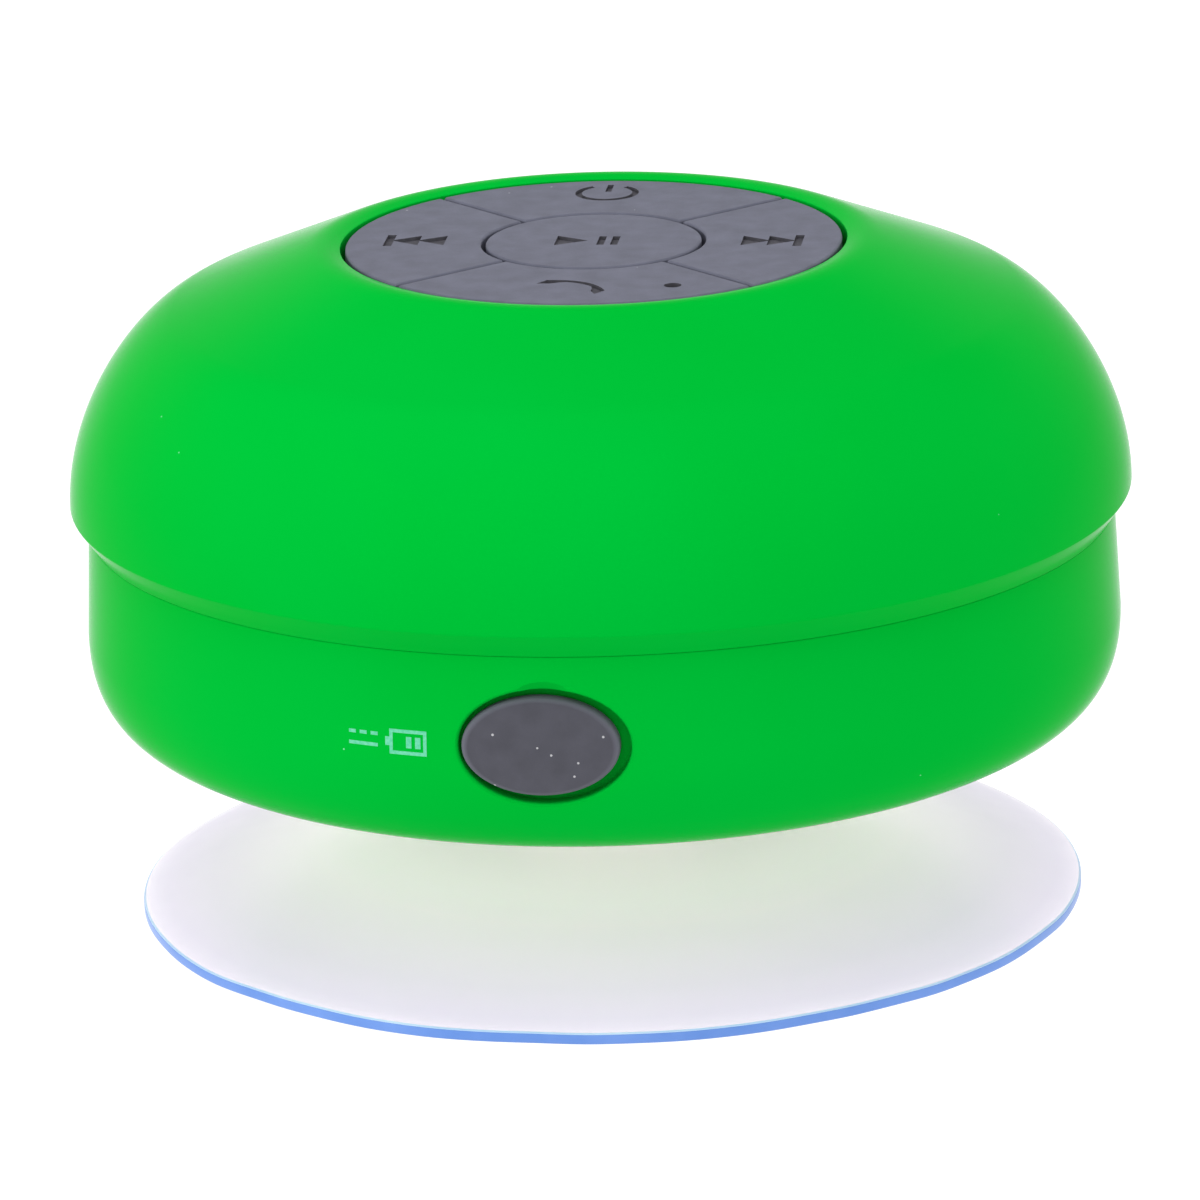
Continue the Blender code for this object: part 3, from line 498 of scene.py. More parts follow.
def milky_vinyl_painted_glow():
    """Soft clear vinyl that has gone milky. Its colour is partly painted light: paler and warmer near the
    neck, darker towards the rim over its own lavender tint, and a faint warm emission near the neck stands
    in for light coming through it.
    """
    look = Look("milky_vinyl_painted_glow", (0.86, 0.86, 0.87), 0.32, Subsurface_Weight=1.0, Subsurface_Scale=0.012)
    look.set("Subsurface Radius", (1.0, 1.0, 1.1))
    split = look.tree.nodes.new("ShaderNodeSeparateXYZ")
    look.link(look.place, split.inputs["Vector"])
    across = look.math("MULTIPLY", split.outputs["X"], split.outputs["X"])
    along = look.math("MULTIPLY", split.outputs["Y"], split.outputs["Y"])
    radius = look.math("SQRT", look.math("ADD", across, along))
    share = look.math("DIVIDE", radius, CUP_RADIUS * MM)
    # Painted light: pale pink near the neck stands in for light coming through the vinyl and offsets green
    # bounce from the base; the darker lavender towards the rim is the vinyl's own tint with painted shade.
    near, middle, rim = (0.96, 0.82, 0.84), (0.78, 0.64, 0.77), (0.52, 0.43, 0.61)
    tint_and_painted_light = look.ramp(share, [(0.55, near), (0.74, middle), (0.95, rim)])
    cloud = look.noise(16.0, 2.0)
    look.colour(look.mixed(look.math("MULTIPLY", cloud, 0.2), tint_and_painted_light, (0.82, 0.73, 0.82)))
    # Painted emission near the neck, standing in for light coming up through the vinyl; the cup is no lamp.
    painted_glow = look.ramp(share, [(0.50, (0.17, 0.14, 0.12)), (0.85, (0.0, 0.0, 0.0))])
    look.link(painted_glow, look.shader.inputs["Emission Color"])
    look.set("Emission Strength", 1.0)
    look.roughness(look.noise(3.0, 4.0), 0.26, 0.38)
    look.bump(look.noise(9.0, 3.0), 0.05)
    return look.material


def vinyl_edge():
    """The cut edge of the cup, where light trapped in the vinyl comes out blue."""
    look = Look("vinyl_edge", (0.125, 0.260, 0.66), 0.28, Specular_IOR_Level=0.4)
    look.colour(look.ramp(look.noise(5.0, 3.0), [(0.3, (0.105, 0.240, 0.64)), (0.7, (0.145, 0.285, 0.70))]))
    look.bump(look.noise(0.8), 0.01)
    return look.material


def vinyl_bevel_highlight():
    """A painted highlight: the paler line where the cup's cut edge turns onto its upper side."""
    look = Look("vinyl_bevel_highlight", (0.50, 0.66, 0.90), 0.28, Specular_IOR_Level=0.4)
    look.colour(look.ramp(look.noise(5.0, 3.0), [(0.3, (0.44, 0.61, 0.88)), (0.7, (0.56, 0.71, 0.92))]))
    look.bump(look.noise(0.8), 0.01)
    return look.material


def pad_print():
    look = Look("pad_print", (0.12, 0.56, 0.34), 0.55, Specular_IOR_Level=0.3)
    look.colour(look.ramp(look.noise(0.3), [(0.35, (0.08, 0.52, 0.28)), (0.65, (0.14, 0.58, 0.36))]))
    look.bump(look.noise(0.1), 0.004)
    return look.material


def plain_rubber(name, colour):
    look = Look(name, colour, 0.7, Specular_IOR_Level=0.3)
    look.colour(look.ramp(look.noise(1.2), [(0.3, tuple(c * 0.8 for c in colour)), (0.7, colour)]))
    look.bump(look.noise(0.15), 0.008)
    return look.material


def brushed_steel(name, colour=(0.55, 0.56, 0.58)):
    """Turned or rolled steel with fine lines along it."""
    look = Look(name, colour, 0.3, 1.0)
    lines = look.noise(0.5, 4.0, stretch=(1.0, 1.0, 14.0))
    look.colour(look.ramp(lines, [(0.3, tuple(c * 0.85 for c in colour)), (0.7, colour)]))
    look.roughness(lines, 0.22, 0.42)
    look.bump(lines, 0.004)
    return look.material


def moulded_plastic(name, colour, roughness=0.42):
    look = Look(name, colour, roughness)
    broad = look.noise(3.0)
    look.colour(look.ramp(broad, [(0.3, tuple(c * 0.88 for c in colour)), (0.7, colour)]))
    look.bump(look.noise(0.12, 4.0), 0.006)
    return look.material


def circuit_board():
    """Green solder mask with copper tracks showing faintly through it."""
    look = Look("circuit_board", (0.01, 0.12, 0.05), 0.35)
    bricks = look.tree.nodes.new("ShaderNodeTexBrick")
    bricks.inputs["Scale"].default_value = 1.0 / (2.4 * MM)
    bricks.inputs["Mortar Size"].default_value = 0.05
    bricks.inputs["Color1"].default_value = (0.006, 0.095, 0.035, 1.0)
    bricks.inputs["Color2"].default_value = (0.008, 0.120, 0.045, 1.0)
    bricks.inputs["Mortar"].default_value = (0.03, 0.24, 0.09, 1.0)
    look.link(look.place, bricks.inputs["Vector"])
    look.colour(bricks.outputs["Color"])
    look.bump(bricks.outputs["Fac"], -0.02)
    return look.material


def banded(name, first, second, pitch, depth, metallic=0.0, roughness=0.35, direction="Z"):
    """Stripes or windings, pitch millimetres apart."""
    look = Look(name, first, roughness, metallic)
    wave = look.tree.nodes.new("ShaderNodeTexWave")
    wave.bands_direction = direction
    wave.inputs["Scale"].default_value = 0.314 / (pitch * MM)
    look.link(look.place, wave.inputs["Vector"])
    look.colour(look.ramp(wave.outputs["Fac"], [(0.2, second), (0.6, first)]))
    look.bump(wave.outputs["Fac"], depth)
    return look.material


def paper_pulp():
    look = Look("paper_pulp", (0.04, 0.04, 0.045), 0.85)
    fibres = look.noise(0.4, 6.0, stretch=(1.0, 3.0, 1.0))
    look.colour(look.ramp(fibres, [(0.3, (0.02, 0.02, 0.024)), (0.7, (0.06, 0.06, 0.066))]))
    look.bump(fibres, 0.05)
    return look.material


def woven_mesh():
    """Fine acoustic cloth."""
    look = Look("acoustic_cloth", (0.02, 0.02, 0.02), 0.85)
    checks = look.tree.nodes.new("ShaderNodeTexChecker")
    checks.inputs["Scale"].default_value = 1.0 / (0.25 * MM)
    checks.inputs["Color1"].default_value = (0.012, 0.012, 0.013, 1.0)
    checks.inputs["Color2"].default_value = (0.05, 0.05, 0.052, 1.0)
    look.link(look.place, checks.inputs["Vector"])
    look.colour(checks.outputs["Color"])
    look.bump(checks.outputs["Fac"], 0.03)
    return look.material


def cell_wrap():
    """Foil pouch of the battery, slightly crinkled."""
    look = Look("cell_wrap", (0.55, 0.57, 0.62), 0.35, 0.6)
    crinkle = look.noise(2.5, 4.0)
    look.colour(look.ramp(crinkle, [(0.3, (0.48, 0.50, 0.55)), (0.7, (0.60, 0.62, 0.67))]))
    look.bump(crinkle, 0.08)
    return look.material


GREEN = green_shell()
KEY_GREY = grey_rubber("key_rubber", (0.113, 0.117, 0.158), 0.05)
PLUG_GREY = grey_rubber("plug_rubber", (0.059, 0.059, 0.076), 0.60, plug_edge_highlight_and_dust)
ICON_SHADE = icon_shade()
VINYL = milky_vinyl_painted_glow()
EDGE = vinyl_edge()
BEVEL = vinyl_bevel_highlight()
PRINT = pad_print()


# --------------------------------------------------------------- green case

def crown_curve(inset, points):
    """The dome's side, from the end of its straight slope to its rim."""
    run = CROWN_STRAIGHT_END - CROWN_START[0]
    top = (CROWN_STRAIGHT_END - inset * sin(CROWN_SLOPE),
           CROWN_START[1] - run * CROWN_FALL - inset * cos(CROWN_SLOPE))
    top_reach = 4.4
    rim_reach = 7.05
    top_handle = (top[0] + top_reach * cos(CROWN_SLOPE), top[1] - top_reach * sin(CROWN_SLOPE))
    rim = (RIM_RADIUS - inset, RIM_Z)
    rim_handle = (rim[0], rim[1] + rim_reach)
    return bezier(top, top_handle, rim_handle, rim, points)


def base_curve(inset, points):
    """The base's round lower corner, from its waist down to its flat floor."""
    waist_reach = 4.8
    floor_reach = 10.3
    waist = (BASE_RADIUS - inset, BASE_WAIST_Z)
    flat = (FLOOR_RADIUS, FLOOR_Z + inset)
    waist_handle = (waist[0], waist[1] - waist_reach)
    flat_handle = (flat[0] + floor_reach - inset, flat[1])
    return bezier(waist, waist_handle, flat_handle, flat, points)


def lip_curve():
    """The keypad recess's wall, its crisp mouth, and the soft crest outside it."""
    foot_round = 0.25
    mouth = 0.12
    past_start = 0.6
    end_reach = 0.9
    foot = arc((RECESS_RADIUS - foot_round, LEDGE_TOP_Z + foot_round), foot_round, -90, 0, 4)
    edge = arc((RECESS_RADIUS + mouth, LIP_EDGE_Z - mouth), mouth, 180, 105, 5)
    start = (RECESS_RADIUS + 0.3, LIP_EDGE_Z + 0.04)
    end = (CROWN_START[0] + past_start, CROWN_START[1] - past_start * CROWN_FALL)
    start_handle = (start[0] + 1.05, start[1] + 0.36)
    end_handle = (end[0] - end_reach, end[1] + end_reach * CROWN_FALL)
    return foot + edge + bezier(start, start_handle, end_handle, end, 14)


def rim_curve():
    """The rim's tight edge, and the straight chamfer that meets the base."""
    edge = 0.28
    turn_down = 36
    rim = arc((RIM_RADIUS - edge, RIM_Z), edge, 0, -turn_down, 5)
    chamfer = straight(rim[-1], (BASE_TOP_RADIUS + 0.06, DOME_FOOT_Z), 5)
    return rim[1:] + chamfer[1:] + [(BASE_TOP_RADIUS + 0.01, DOME_FOOT_Z - DOME_FOOT_LIP)]


def dome_outline():
    skirt = TONGUE_OUTER + GAP
    inside = crown_curve(WALL, 12)[::-1]
    return [
        (LEDGE_INNER, LEDGE_TOP_Z),
        *lip_curve(),
        *crown_curve(0.0, 30),
        *rim_curve(),
        (skirt, DOME_FOOT_Z),
        (skirt, TONGUE_TOP_Z + GAP),
        (RIM_RADIUS - WALL, TONGUE_TOP_Z + 1.0),
        *inside[1:],
        *LEDGE_SLOPE,
        (LEDGE_INNER, LEDGE_Z),
    ]


def dome_posts():
    """Screw posts inside the dome, trimmed to the middle of its wall."""
    posts = bmesh.new()
    holes = bmesh.new()
    foot = BASE_TOP_Z - 1.3
    for angle in four_angles():
        centre = on_circle(CASE_SCREW_RING, angle)
        add_turned(posts, rod(3.0, foot, 53.0), 24, centre)
        add_turned(holes, rod(1.4, foot - 1.0, 38.0), 20, centre)
    for angle in three_angles():
        centre = on_circle(SCREW_BOARD_RING, angle)
        add_turned(posts, rod(2.2, 48.3, 50.0), 24, centre)
        add_turned(holes, rod(1.1, 47.5, 50.0), 20, centre)
    core = bmesh.new()
    side = crown_curve(WALL / 2, 12)
    add_turned(core, [(0.0, 54.0), (21.5, 54.0), *side, (RIM_RADIUS - WALL / 2, 20.0), (0.0, 20.0)], 90)
    return posts, holes, core


def dome():
    bm = bmesh.new()
    add_turned(bm, dome_outline(), FINE_SIDES)
    shell = object_from("dome_cover", bm, GREEN)
    posts, holes, core = dome_posts()
    trimmed = combine(shell, posts, "UNION")
    combine(trimmed, core, "INTERSECT")
    settle(trimmed)
    combine(shell, holes, "DIFFERENCE")
    settle(shell)
    show(shell, "speaker", "shell", "dome_shell")


def base_side():
    """The base's outer side, from its top edge down to its floor."""
    edge = 0.08
    top = arc((BASE_TOP_RADIUS - edge, BASE_TOP_Z + BASE_TOP_LIP - edge), edge, 90, 0, 5)
    wall = straight(top[-1], (BASE_RADIUS, BASE_WAIST_Z), 8)
    return top + wall[1:] + base_curve(0.0, 26)[1:]


def base_outline():
    recess = 9.6
    hole = 3.4
    recess_z = FLOOR_Z + 1.4
    boss_z = recess_z + WALL
    inside = base_curve(WALL, 10)[::-1]
    groove_inner, groove_outer, groove_depth = GASKET_GROOVE
    groove_z = BASE_TOP_Z - groove_depth
    soft = 0.35
    return [
        *base_side(),
        *arc((recess + soft, FLOOR_Z + soft), soft, 270, 180, 5),
        (recess, recess_z),
        (hole, recess_z),
        (hole, boss_z),
        (recess + 1.8, boss_z),
        (recess + 1.8, FLOOR_TOP_Z),
        (DRIVER_RING[0], FLOOR_TOP_Z),
        (DRIVER_RING[0], DRIVER_RING_TOP_Z),
        (DRIVER_RING[1], DRIVER_RING_TOP_Z),
        (DRIVER_RING[1], FLOOR_TOP_Z),
        *inside,
        (TONGUE_OUTER - TONGUE_THICK, TONGUE_FOOT_Z),
        (TONGUE_OUTER - TONGUE_THICK, TONGUE_TOP_Z),
        (TONGUE_OUTER, TONGUE_TOP_Z),
        (TONGUE_OUTER, BASE_TOP_Z),
        (groove_inner, BASE_TOP_Z),
        (groove_inner, groove_z),
        (groove_outer, groove_z),
        (groove_outer, BASE_TOP_Z),
    ]


def wall_radius(z):
    """Outer radius of the base at a height."""
    side = base_side()
    for upper, lower in zip(side, side[1:]):
        if lower[1] <= z <= upper[1] and upper[1] > lower[1]:
            share = (z - lower[1]) / (upper[1] - lower[1])
            return lower[0] + share * (upper[0] - lower[0])
    return BASE_RADIUS


def wall_y(x, z):
    """The base's outer surface on its front side."""
    return -sqrt(wall_radius(z) ** 2 - x ** 2)


def pocket_oval(spread):
    """The port pocket's oval outline, grown by spread."""
    return ellipse(RECESS_HALF[0] + spread, RECESS_HALF[1] + spread, OVAL_SIDES, (0, PORT_Z))


def port_recess():
    """Tool for the oval pocket, whose mouth rounds over onto the curved wall."""
    fillet = 0.32
    floor_round = 0.3
    outside_y = -46.0
    mouth = pocket_oval(fillet)
    rings = [[(x, outside_y, z) for x, z in mouth]]
    for lean in (18, 32, 46, 60, 75, 90):
        spread = fillet * (1.0 - sin(radians(lean)))
        depth = fillet * (1.0 - cos(radians(lean)))
        rings.append([(x, wall_y(x, z) + depth, z) for x, z in pocket_oval(spread)])
    for lean in (0, 30, 60, 90):
        inset = floor_round * (1.0 - cos(radians(lean)))
        y = RECESS_FLOOR_Y - floor_round * (1.0 - sin(radians(lean)))
        rings.append([(x, y, z) for x, z in pocket_oval(-inset)])
    bm = bmesh.new()
    add_loft(bm, rings)
    return bm


def nail_notch():
    """Tool for the shallow scoop over the plug."""
    bm = bmesh.new()
    bmesh.ops.create_uvsphere(bm, u_segments=48, v_segments=24, radius=1.0)
    top_z = 29.8
    place = Vector((0.0, wall_y(0.0, top_z) - 1.5, top_z - 0.5)) * MM
    size = Matrix.Diagonal(Vector((3.7, 2.2, 2.2)) * MM).to_4x4()
    bmesh.ops.transform(bm, matrix=Matrix.Translation(place) @ size, verts=bm.verts)
    return bm


def base_additions():
    """Screw posts, board posts and the thick boss behind the charging port."""
    bm = bmesh.new()
    for angle in four_angles():
        add_turned(bm, rod(3.6, FLOOR_Z + 1.4, BASE_TOP_Z - 1.6), 24, on_circle(CASE_SCREW_RING, angle))
    for centre in MAIN_SCREWS:
        add_turned(bm, rod(2.5, FLOOR_Z + 1.0, 22.5), 24, centre)
    boss = [[(x, y, z) for x, z in rounded_box(7.8, 5.0, 1.0, 4, (0, PORT_Z))] for y in (-40.6, -37.5)]
    add_loft(bm, boss)
    return bm


def base_cuts():
    """Screw holes and sound slots."""
    bm = bmesh.new()
    below = FLOOR_Z - 1.8
    for angle in four_angles():
        stepped = [(0.0, below), (2.7, below), (2.7, CASE_SCREW_HEAD_TOP_Z),
                   (1.5, CASE_SCREW_HEAD_TOP_Z), (1.5, BASE_TOP_Z), (0.0, BASE_TOP_Z)]
        add_turned(bm, stepped, 32, on_circle(CASE_SCREW_RING, angle))
    for centre in MAIN_SCREWS:
        add_turned(bm, rod(1.05, 18.0, 24.0), 20, centre)
    for angle in three_angles():
        add_turned(bm, rod(1.0, 17.2, DRIVER_RING_TOP_Z + 1.0), 20, on_circle(DRIVER_SCREW_RING, angle))
    for slot in range(SOUND_SLOTS):
        turn = Matrix.Rotation(tau * (slot + 0.5) / SOUND_SLOTS, 3, "Z")
        add_prism(bm, rounded_box(2.0, 0.9, 0.85, 5, (14.3, 0.0)), below, FLOOR_TOP_Z + 0.6, turn)
    return bm


def port_passage():
    """Tool for the way in to the socket, and the hole that anchors the tether."""
    bm = bmesh.new()
    socket_way = rounded_box(4.2, 1.6, 0.6, 5, (0.2, PORT_Z))
    tether_hole = ellipse(0.75, 0.75, 24, (TETHER_X, PORT_Z))
    for outline in (socket_way, tether_hole):
        add_loft(bm, [[(x, y, z) for x, z in outline] for y in (-40.8, -36.8)])
    return bm


def base():
    bm = bmesh.new()
    add_turned(bm, base_outline(), FINE_SIDES)
    shell = object_from("base_housing", bm, GREEN)
    combine(shell, base_additions(), "UNION")
    combine(shell, base_cuts(), "DIFFERENCE")
    combine(shell, port_recess(), "DIFFERENCE")
    combine(shell, port_passage(), "DIFFERENCE")
    combine(shell, nail_notch(), "DIFFERENCE")
    settle(shell, 40.0)
    show(shell, "speaker", "shell", "base_shell")


# -------------------------------------------------------------------- keypad

def handset(centre, turn):
    """A telephone handset seen from its side, as a closed outline."""
    over = []
    under = []
    steps = 14
    for i in range(steps + 1):
        s = 2.0 * i / steps - 1.0
        back = 0.55 - 1.15 * s * s
        end = min(max((abs(s) - 0.52) / 0.14, 0.0), 1.0)
        over.append(Vector((2.95 * s, back)))
        under.append(Vector((2.95 * s, back - 0.55 - 0.75 * end)))
    rotate = Matrix.Rotation(turn, 2)
    return [tuple(rotate @ p + Vector(centre)) for p in over + under[::-1]]


def power_ring(centre, radius, stroke, opening):
    """A ring with an opening on its +Y side."""
    outer = arc(centre, radius + stroke / 2, 90 + opening, 450 - opening, 29)
    inner = arc(centre, radius - stroke / 2, 450 - opening, 90 + opening, 29)
    return outer + inner


def bar(centre, width, height):
    x, y = centre
    return [(x - width / 2, y - height / 2), (x + width / 2, y - height / 2),
            (x + width / 2, y + height / 2), (x - width / 2, y + height / 2)]


def skip_mark(direction, start, height):
    """Two arrowheads and a bar in a row, pointing along direction."""
    half = height / 2
    tip = 0.14
    reach = 2.1
    upper = [(0.0, half), (reach, tip), (reach, half), (2 * reach, tip), (2 * reach, half + 0.25),
             (2 * reach + 0.7, half + 0.25)]
    lower = [(x, -y) for x, y in reversed(upper)]
    return [(start + direction * x, y) for x, y in upper + lower]


def key_icons():
    """Flat outlines of each key's icon."""
    return {
        "key_power": [power_ring((POWER_CENTRE_X, 15.8), 2.35, 0.55, 34),
                      bar((POWER_CENTRE_X + 0.05, 17.3), 0.5, 2.3)],
        "key_play_pause": [[(-3.05, 1.5), (-3.05, -1.5), (-0.45, 0.0)], bar((0.65, 0.0), 0.6, 2.7),
                           bar((1.75, 0.0), 0.6, 2.7)],
        "key_next": [skip_mark(1, 12.0, 3.0)],
        "key_previous": [skip_mark(-1, -12.0, 3.0)],
        "key_call": [handset(CALL_CENTRE, CALL_TURN)],
    }


def sector_outline(middle):
    """A quarter of the keypad ring, with straight grooves along its two ends."""
    half = KEY_GROOVE / 2
    points = []
    for radius, count, direction in ((KEYPAD_RADIUS, 49, 1), (CENTRE_KEY_RADIUS + KEY_GROOVE, 25, -1)):
        reach = radians(45) - half / radius
        for i in range(count):
            angle = radians(middle) + direction * reach * (2 * i / (count - 1) - 1)
            points.append(on_circle(radius, angle))
    return points


def key(node, outline, centre, body):
    """A key cap with soft edges, its moulded icon, and the stem under it."""
    low = KEY_TOP_Z - KEY_THICK
    cap = bmesh.new()
    add_prism(cap, outline, low, KEY_TOP_Z)
    made = object_from(node.replace("key_", "keycap_"), cap, KEY_GREY)
    soft = made.modifiers.new("soft_edges", "BEVEL")
    soft.width = 0.22 * MM
    soft.segments = 4
    soft.limit_method = "ANGLE"
    soft.angle_limit = radians(40)
    settle(made)
    made.modifiers.clear()
    stem = bmesh.new()
    add_turned(stem, rod(STEM_RADIUS, LEDGE_TOP_Z, low + 0.8), 24, centre)
    combine(made, stem, "UNION")
    icons = bmesh.new()
    for shape in key_icons()[node]:
        add_prism(icons, shape, KEY_TOP_Z - ICON_DEPTH, KEY_TOP_Z + 1.0)
    # The icon cuts take the painted shade.
    combine(made, icons, "DIFFERENCE", ICON_SHADE)
    if node == "key_call":
        hole = bmesh.new()
        add_turned(hole, rod(MIC_HOLE, 50.0, 57.0), 32, on_circle(MIC_RING, MIC_ANGLE))
        # The mic hole's wall takes the same painted shade.
        combine(made, hole, "DIFFERENCE", ICON_SHADE)
    settle(made)
    show(made, body, "keys", node)


def keypad():
    disc = ellipse(CENTRE_KEY_RADIUS, CENTRE_KEY_RADIUS, 96)
    key("key_play_pause", disc, (0.0, 0.0), "play_key")
    for name, middle in (("next", 0.0), ("power", 90.0), ("previous", 180.0), ("call", 270.0)):
        centre = on_circle(KEY_RING, radians(middle))
        key(f"key_{name}", sector_outline(middle), centre, f"{name}_key")


# ------------------------------------------------------------- charging port

def oval_ring(half_x, half_z, y):
    """One oval ring of the plug, at a place along Y."""
    return [(x, y, z) for x, z in ellipse(half_x, half_z, OVAL_SIDES, (PLUG_X, PORT_Z))]


def plug():
    """The oval rubber plug: a slightly crowned face, round edges and a bung."""
    edge = 0.5
    crown = 0.10
    back_edge = 0.2
    half_x, half_z = PLUG_HALF
    rings = []
    for share in (0.03, 0.3, 0.6, 0.85):
        y = PLUG_FACE_Y - crown * (1.0 - share ** 2)
        rings.append(oval_ring((half_x - edge) * share, (half_z - edge) * share, y))
    for lean in (90, 75, 60, 45, 30, 15, 0):
        inset = edge * (1.0 - cos(radians(lean)))
        y = PLUG_FACE_Y + edge * (1.0 - sin(radians(lean)))
        rings.append(oval_ring(half_x - inset, half_z - inset, y))
    rings.append(oval_ring(half_x, half_z, PLUG_BACK_Y - back_edge))
    rings.append(oval_ring(half_x - back_edge, half_z - back_edge, PLUG_BACK_Y))
    bm = bmesh.new()
    add_loft(bm, rings)
    made = object_from("port_cover", bm, PLUG_GREY)
    combine(made, bung(), "UNION")
    settle(made)
    show(made, "plug", "plug", "port_plug")


def bung():
    """The block on the plug's back, with a sealing ridge round it."""
    rings = []
    tip = 0.4
    ridge_y = PLUG_BACK_Y + 1.0
    steps = [(0.0, PLUG_BACK_Y - 0.6), (0.0, ridge_y - 0.25), (-0.12, ridge_y), (0.0, ridge_y + 0.25),
             (0.0, BUNG_TIP_Y - tip), (tip * 0.3, BUNG_TIP_Y - tip * 0.3), (tip, BUNG_TIP_Y)]
    for inset, y in steps:
        outline = rounded_box(BUNG_HALF[0] - inset, BUNG_HALF[1] - inset, 0.55, 6, (PLUG_X, PORT_Z))
        rings.append([(x, y, z) for x, z in outline])
    bm = bmesh.new()
    add_loft(bm, rings)
    return bm


def tether():
    """The rubber strap that holds the plug: barb, pin and a short free length."""
    pin = 0.5
    barb = 1.2
    barb_y = -37.2
    free_start = RECESS_FLOOR_Y - 0.1
    free_end = PLUG_BACK_Y
    route = [(0.4, barb_y + 1.4), (barb * 0.6, barb_y + 1.3), (barb, barb_y + 0.3), (barb, barb_y)]
    route += [(pin, barb_y), (pin, barb_y - 1.0), (pin, free_start + 0.1)]
    steps = 12
    for i in range(steps + 1):
        route.append((pin, free_start + (free_end - free_start) * i / steps))
    route.append((pin, free_end - 0.5))
    rings = [[(x, y, z) for x, z in ellipse(r, r, 20, (TETHER_X, PORT_Z))] for r, y in route]
    bm = bmesh.new()
    add_loft(bm, rings)
    strap = object_from("port_cover_strap", bm, PLUG_GREY)
    settle(strap)
    strap.modifiers.clear()
    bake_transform(strap)
    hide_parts("port_plug_tether")


def printed_bar(bm, left, right, low, high):
    """A thin printed patch on the base's wall. Sideways places run along the wall."""
    columns = 4
    rings = []
    for i in range(columns + 1):
        angle = (left + (right - left) * i / columns) / BASE_RADIUS
        ring = []
        for z, lift in ((low, -0.03), (high, -0.03), (high, 0.02), (low, 0.02)):
            reach = wall_radius(z) + lift
            ring.append((reach * sin(angle), -reach * cos(angle), z))
        rings.append(ring)
    add_loft(bm, rings)


def port_marks():
    """A direct-current mark and a small battery, printed left of the plug."""
    bm = bmesh.new()
    low = PORT_Z - 1.05
    stroke = 0.28
    for i in range(3):
        left = -15.9 + i * 0.95
        printed_bar(bm, left, left + 0.6, low + 1.35, low + 1.35 + stroke)
    printed_bar(bm, -15.9, -13.4, low + 0.45, low + 0.45 + stroke)
    left, right, high = -12.4, -9.3, low + 2.0
    printed_bar(bm, left, right, low, low + stroke)
    printed_bar(bm, left, right, high - stroke, high)
    printed_bar(bm, left, left + stroke, low + stroke, high - stroke)
    printed_bar(bm, right - stroke, right, low + stroke, high - stroke)
    printed_bar(bm, left - 0.35, left, low + 0.65, high - 0.65)
    for i in range(2):
        cell = right - 0.95 - i * 0.75
        printed_bar(bm, cell, cell + 0.45, low + 0.55, high - 0.55)
    marks = object_from("port_marks", bm, PRINT)
    show(marks, "speaker", "shell")


# --------------------------------------------------------------- suction cup

def cup_under(radius):
    inner = CUP_RADIUS - CUP_LAND
    return CUP_HOLLOW * (1.0 - (radius / inner) ** 1.6)


def cup_over(radius):
    return CUP_EDGE + CUP_CROWN * (1.0 - (radius / CUP_RADIUS) ** 1.5)


def cup_outline():
    inner = CUP_RADIUS - CUP_LAND
    hollow = [(inner * k / 24, cup_under(inner * k / 24)) for k in range(25)]
    dish_start = CUP_NECK_RADIUS + 3.5
    shoulder = CUP_RADIUS - 0.18
    span = shoulder - dish_start
    dish = [(shoulder - span * k / 30, cup_over(shoulder - span * k / 30)) for k in range(31)]
    slope = (cup_over(dish_start - 0.01) - cup_over(dish_start)) / 0.01
    neck_foot = cup_over(dish_start) + 2.2
    dish_handle = (dish_start - 2.2, dish[-1][1] + 2.2 * slope)
    neck_handle = (CUP_NECK_RADIUS, neck_foot - 1.4)
    fillet = bezier(dish[-1], dish_handle, neck_handle, (CUP_NECK_RADIUS, neck_foot), 10)
    neck_edge = 0.4
    neck = arc((CUP_NECK_RADIUS - neck_edge, CUP_NECK_TOP_Z - neck_edge), neck_edge, 0, 90, 5)
    edge_low = arc((CUP_RADIUS - 0.22, 0.22), 0.22, -90, 0, 5)
    edge_high = arc((CUP_RADIUS - 0.14, CUP_EDGE - 0.16), 0.14, 0, 60, 4)
    return [
        *hollow,
        *edge_low,
        *edge_high,
        *dish,
        *fillet[1:],
        *neck,
        (CUP_SOCKET_RADIUS, CUP_NECK_TOP_Z),
        (CUP_SOCKET_RADIUS, CUP_SOCKET_Z),
        (0.0, CUP_SOCKET_Z),
    ]


def rim_wave(radius, height, angle):
    """Lift the thin outer part of the cup a little, unevenly round it."""
    outer = max(0.0, (radius - CUP_THIN_RADIUS) / (CUP_RADIUS - CUP_THIN_RADIUS))
    wave = noise.noise(Vector((2.2 * cos(angle), 2.2 * sin(angle), 4.0)))
    ripple = noise.noise(Vector((7.0 * cos(angle), 7.0 * sin(angle), 9.0)))
    return radius, height + outer ** 2 * (0.22 + 0.20 * wave + 0.07 * ripple)


def suction_cup():
    bm = bmesh.new()
    add_turned(bm, cup_outline(), 240, shape=rim_wave)
    made = object_from("vinyl_cup", bm, VINYL, EDGE, BEVEL)
    cut_start = (CUP_RADIUS - 0.03) * MM
    bevel_start = (CUP_RADIUS - 0.30) * MM
    # Faces on the cut edge take the blue edge colour, and the narrow band just inside it takes the painted
    # highlight.
    for face in made.data.polygons:
        reach = face.center.xy.length
        if reach > cut_start or (reach > bevel_start and face.normal.z < 0.0):
            face.material_index = 1
        elif reach > bevel_start:
            face.material_index = 2
    settle(made)
    made.modifiers.clear()
    show(made, "cup", "cup", "suction_cup")
    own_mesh(made)


# ------------------------------------------------------- looks of inner nodes

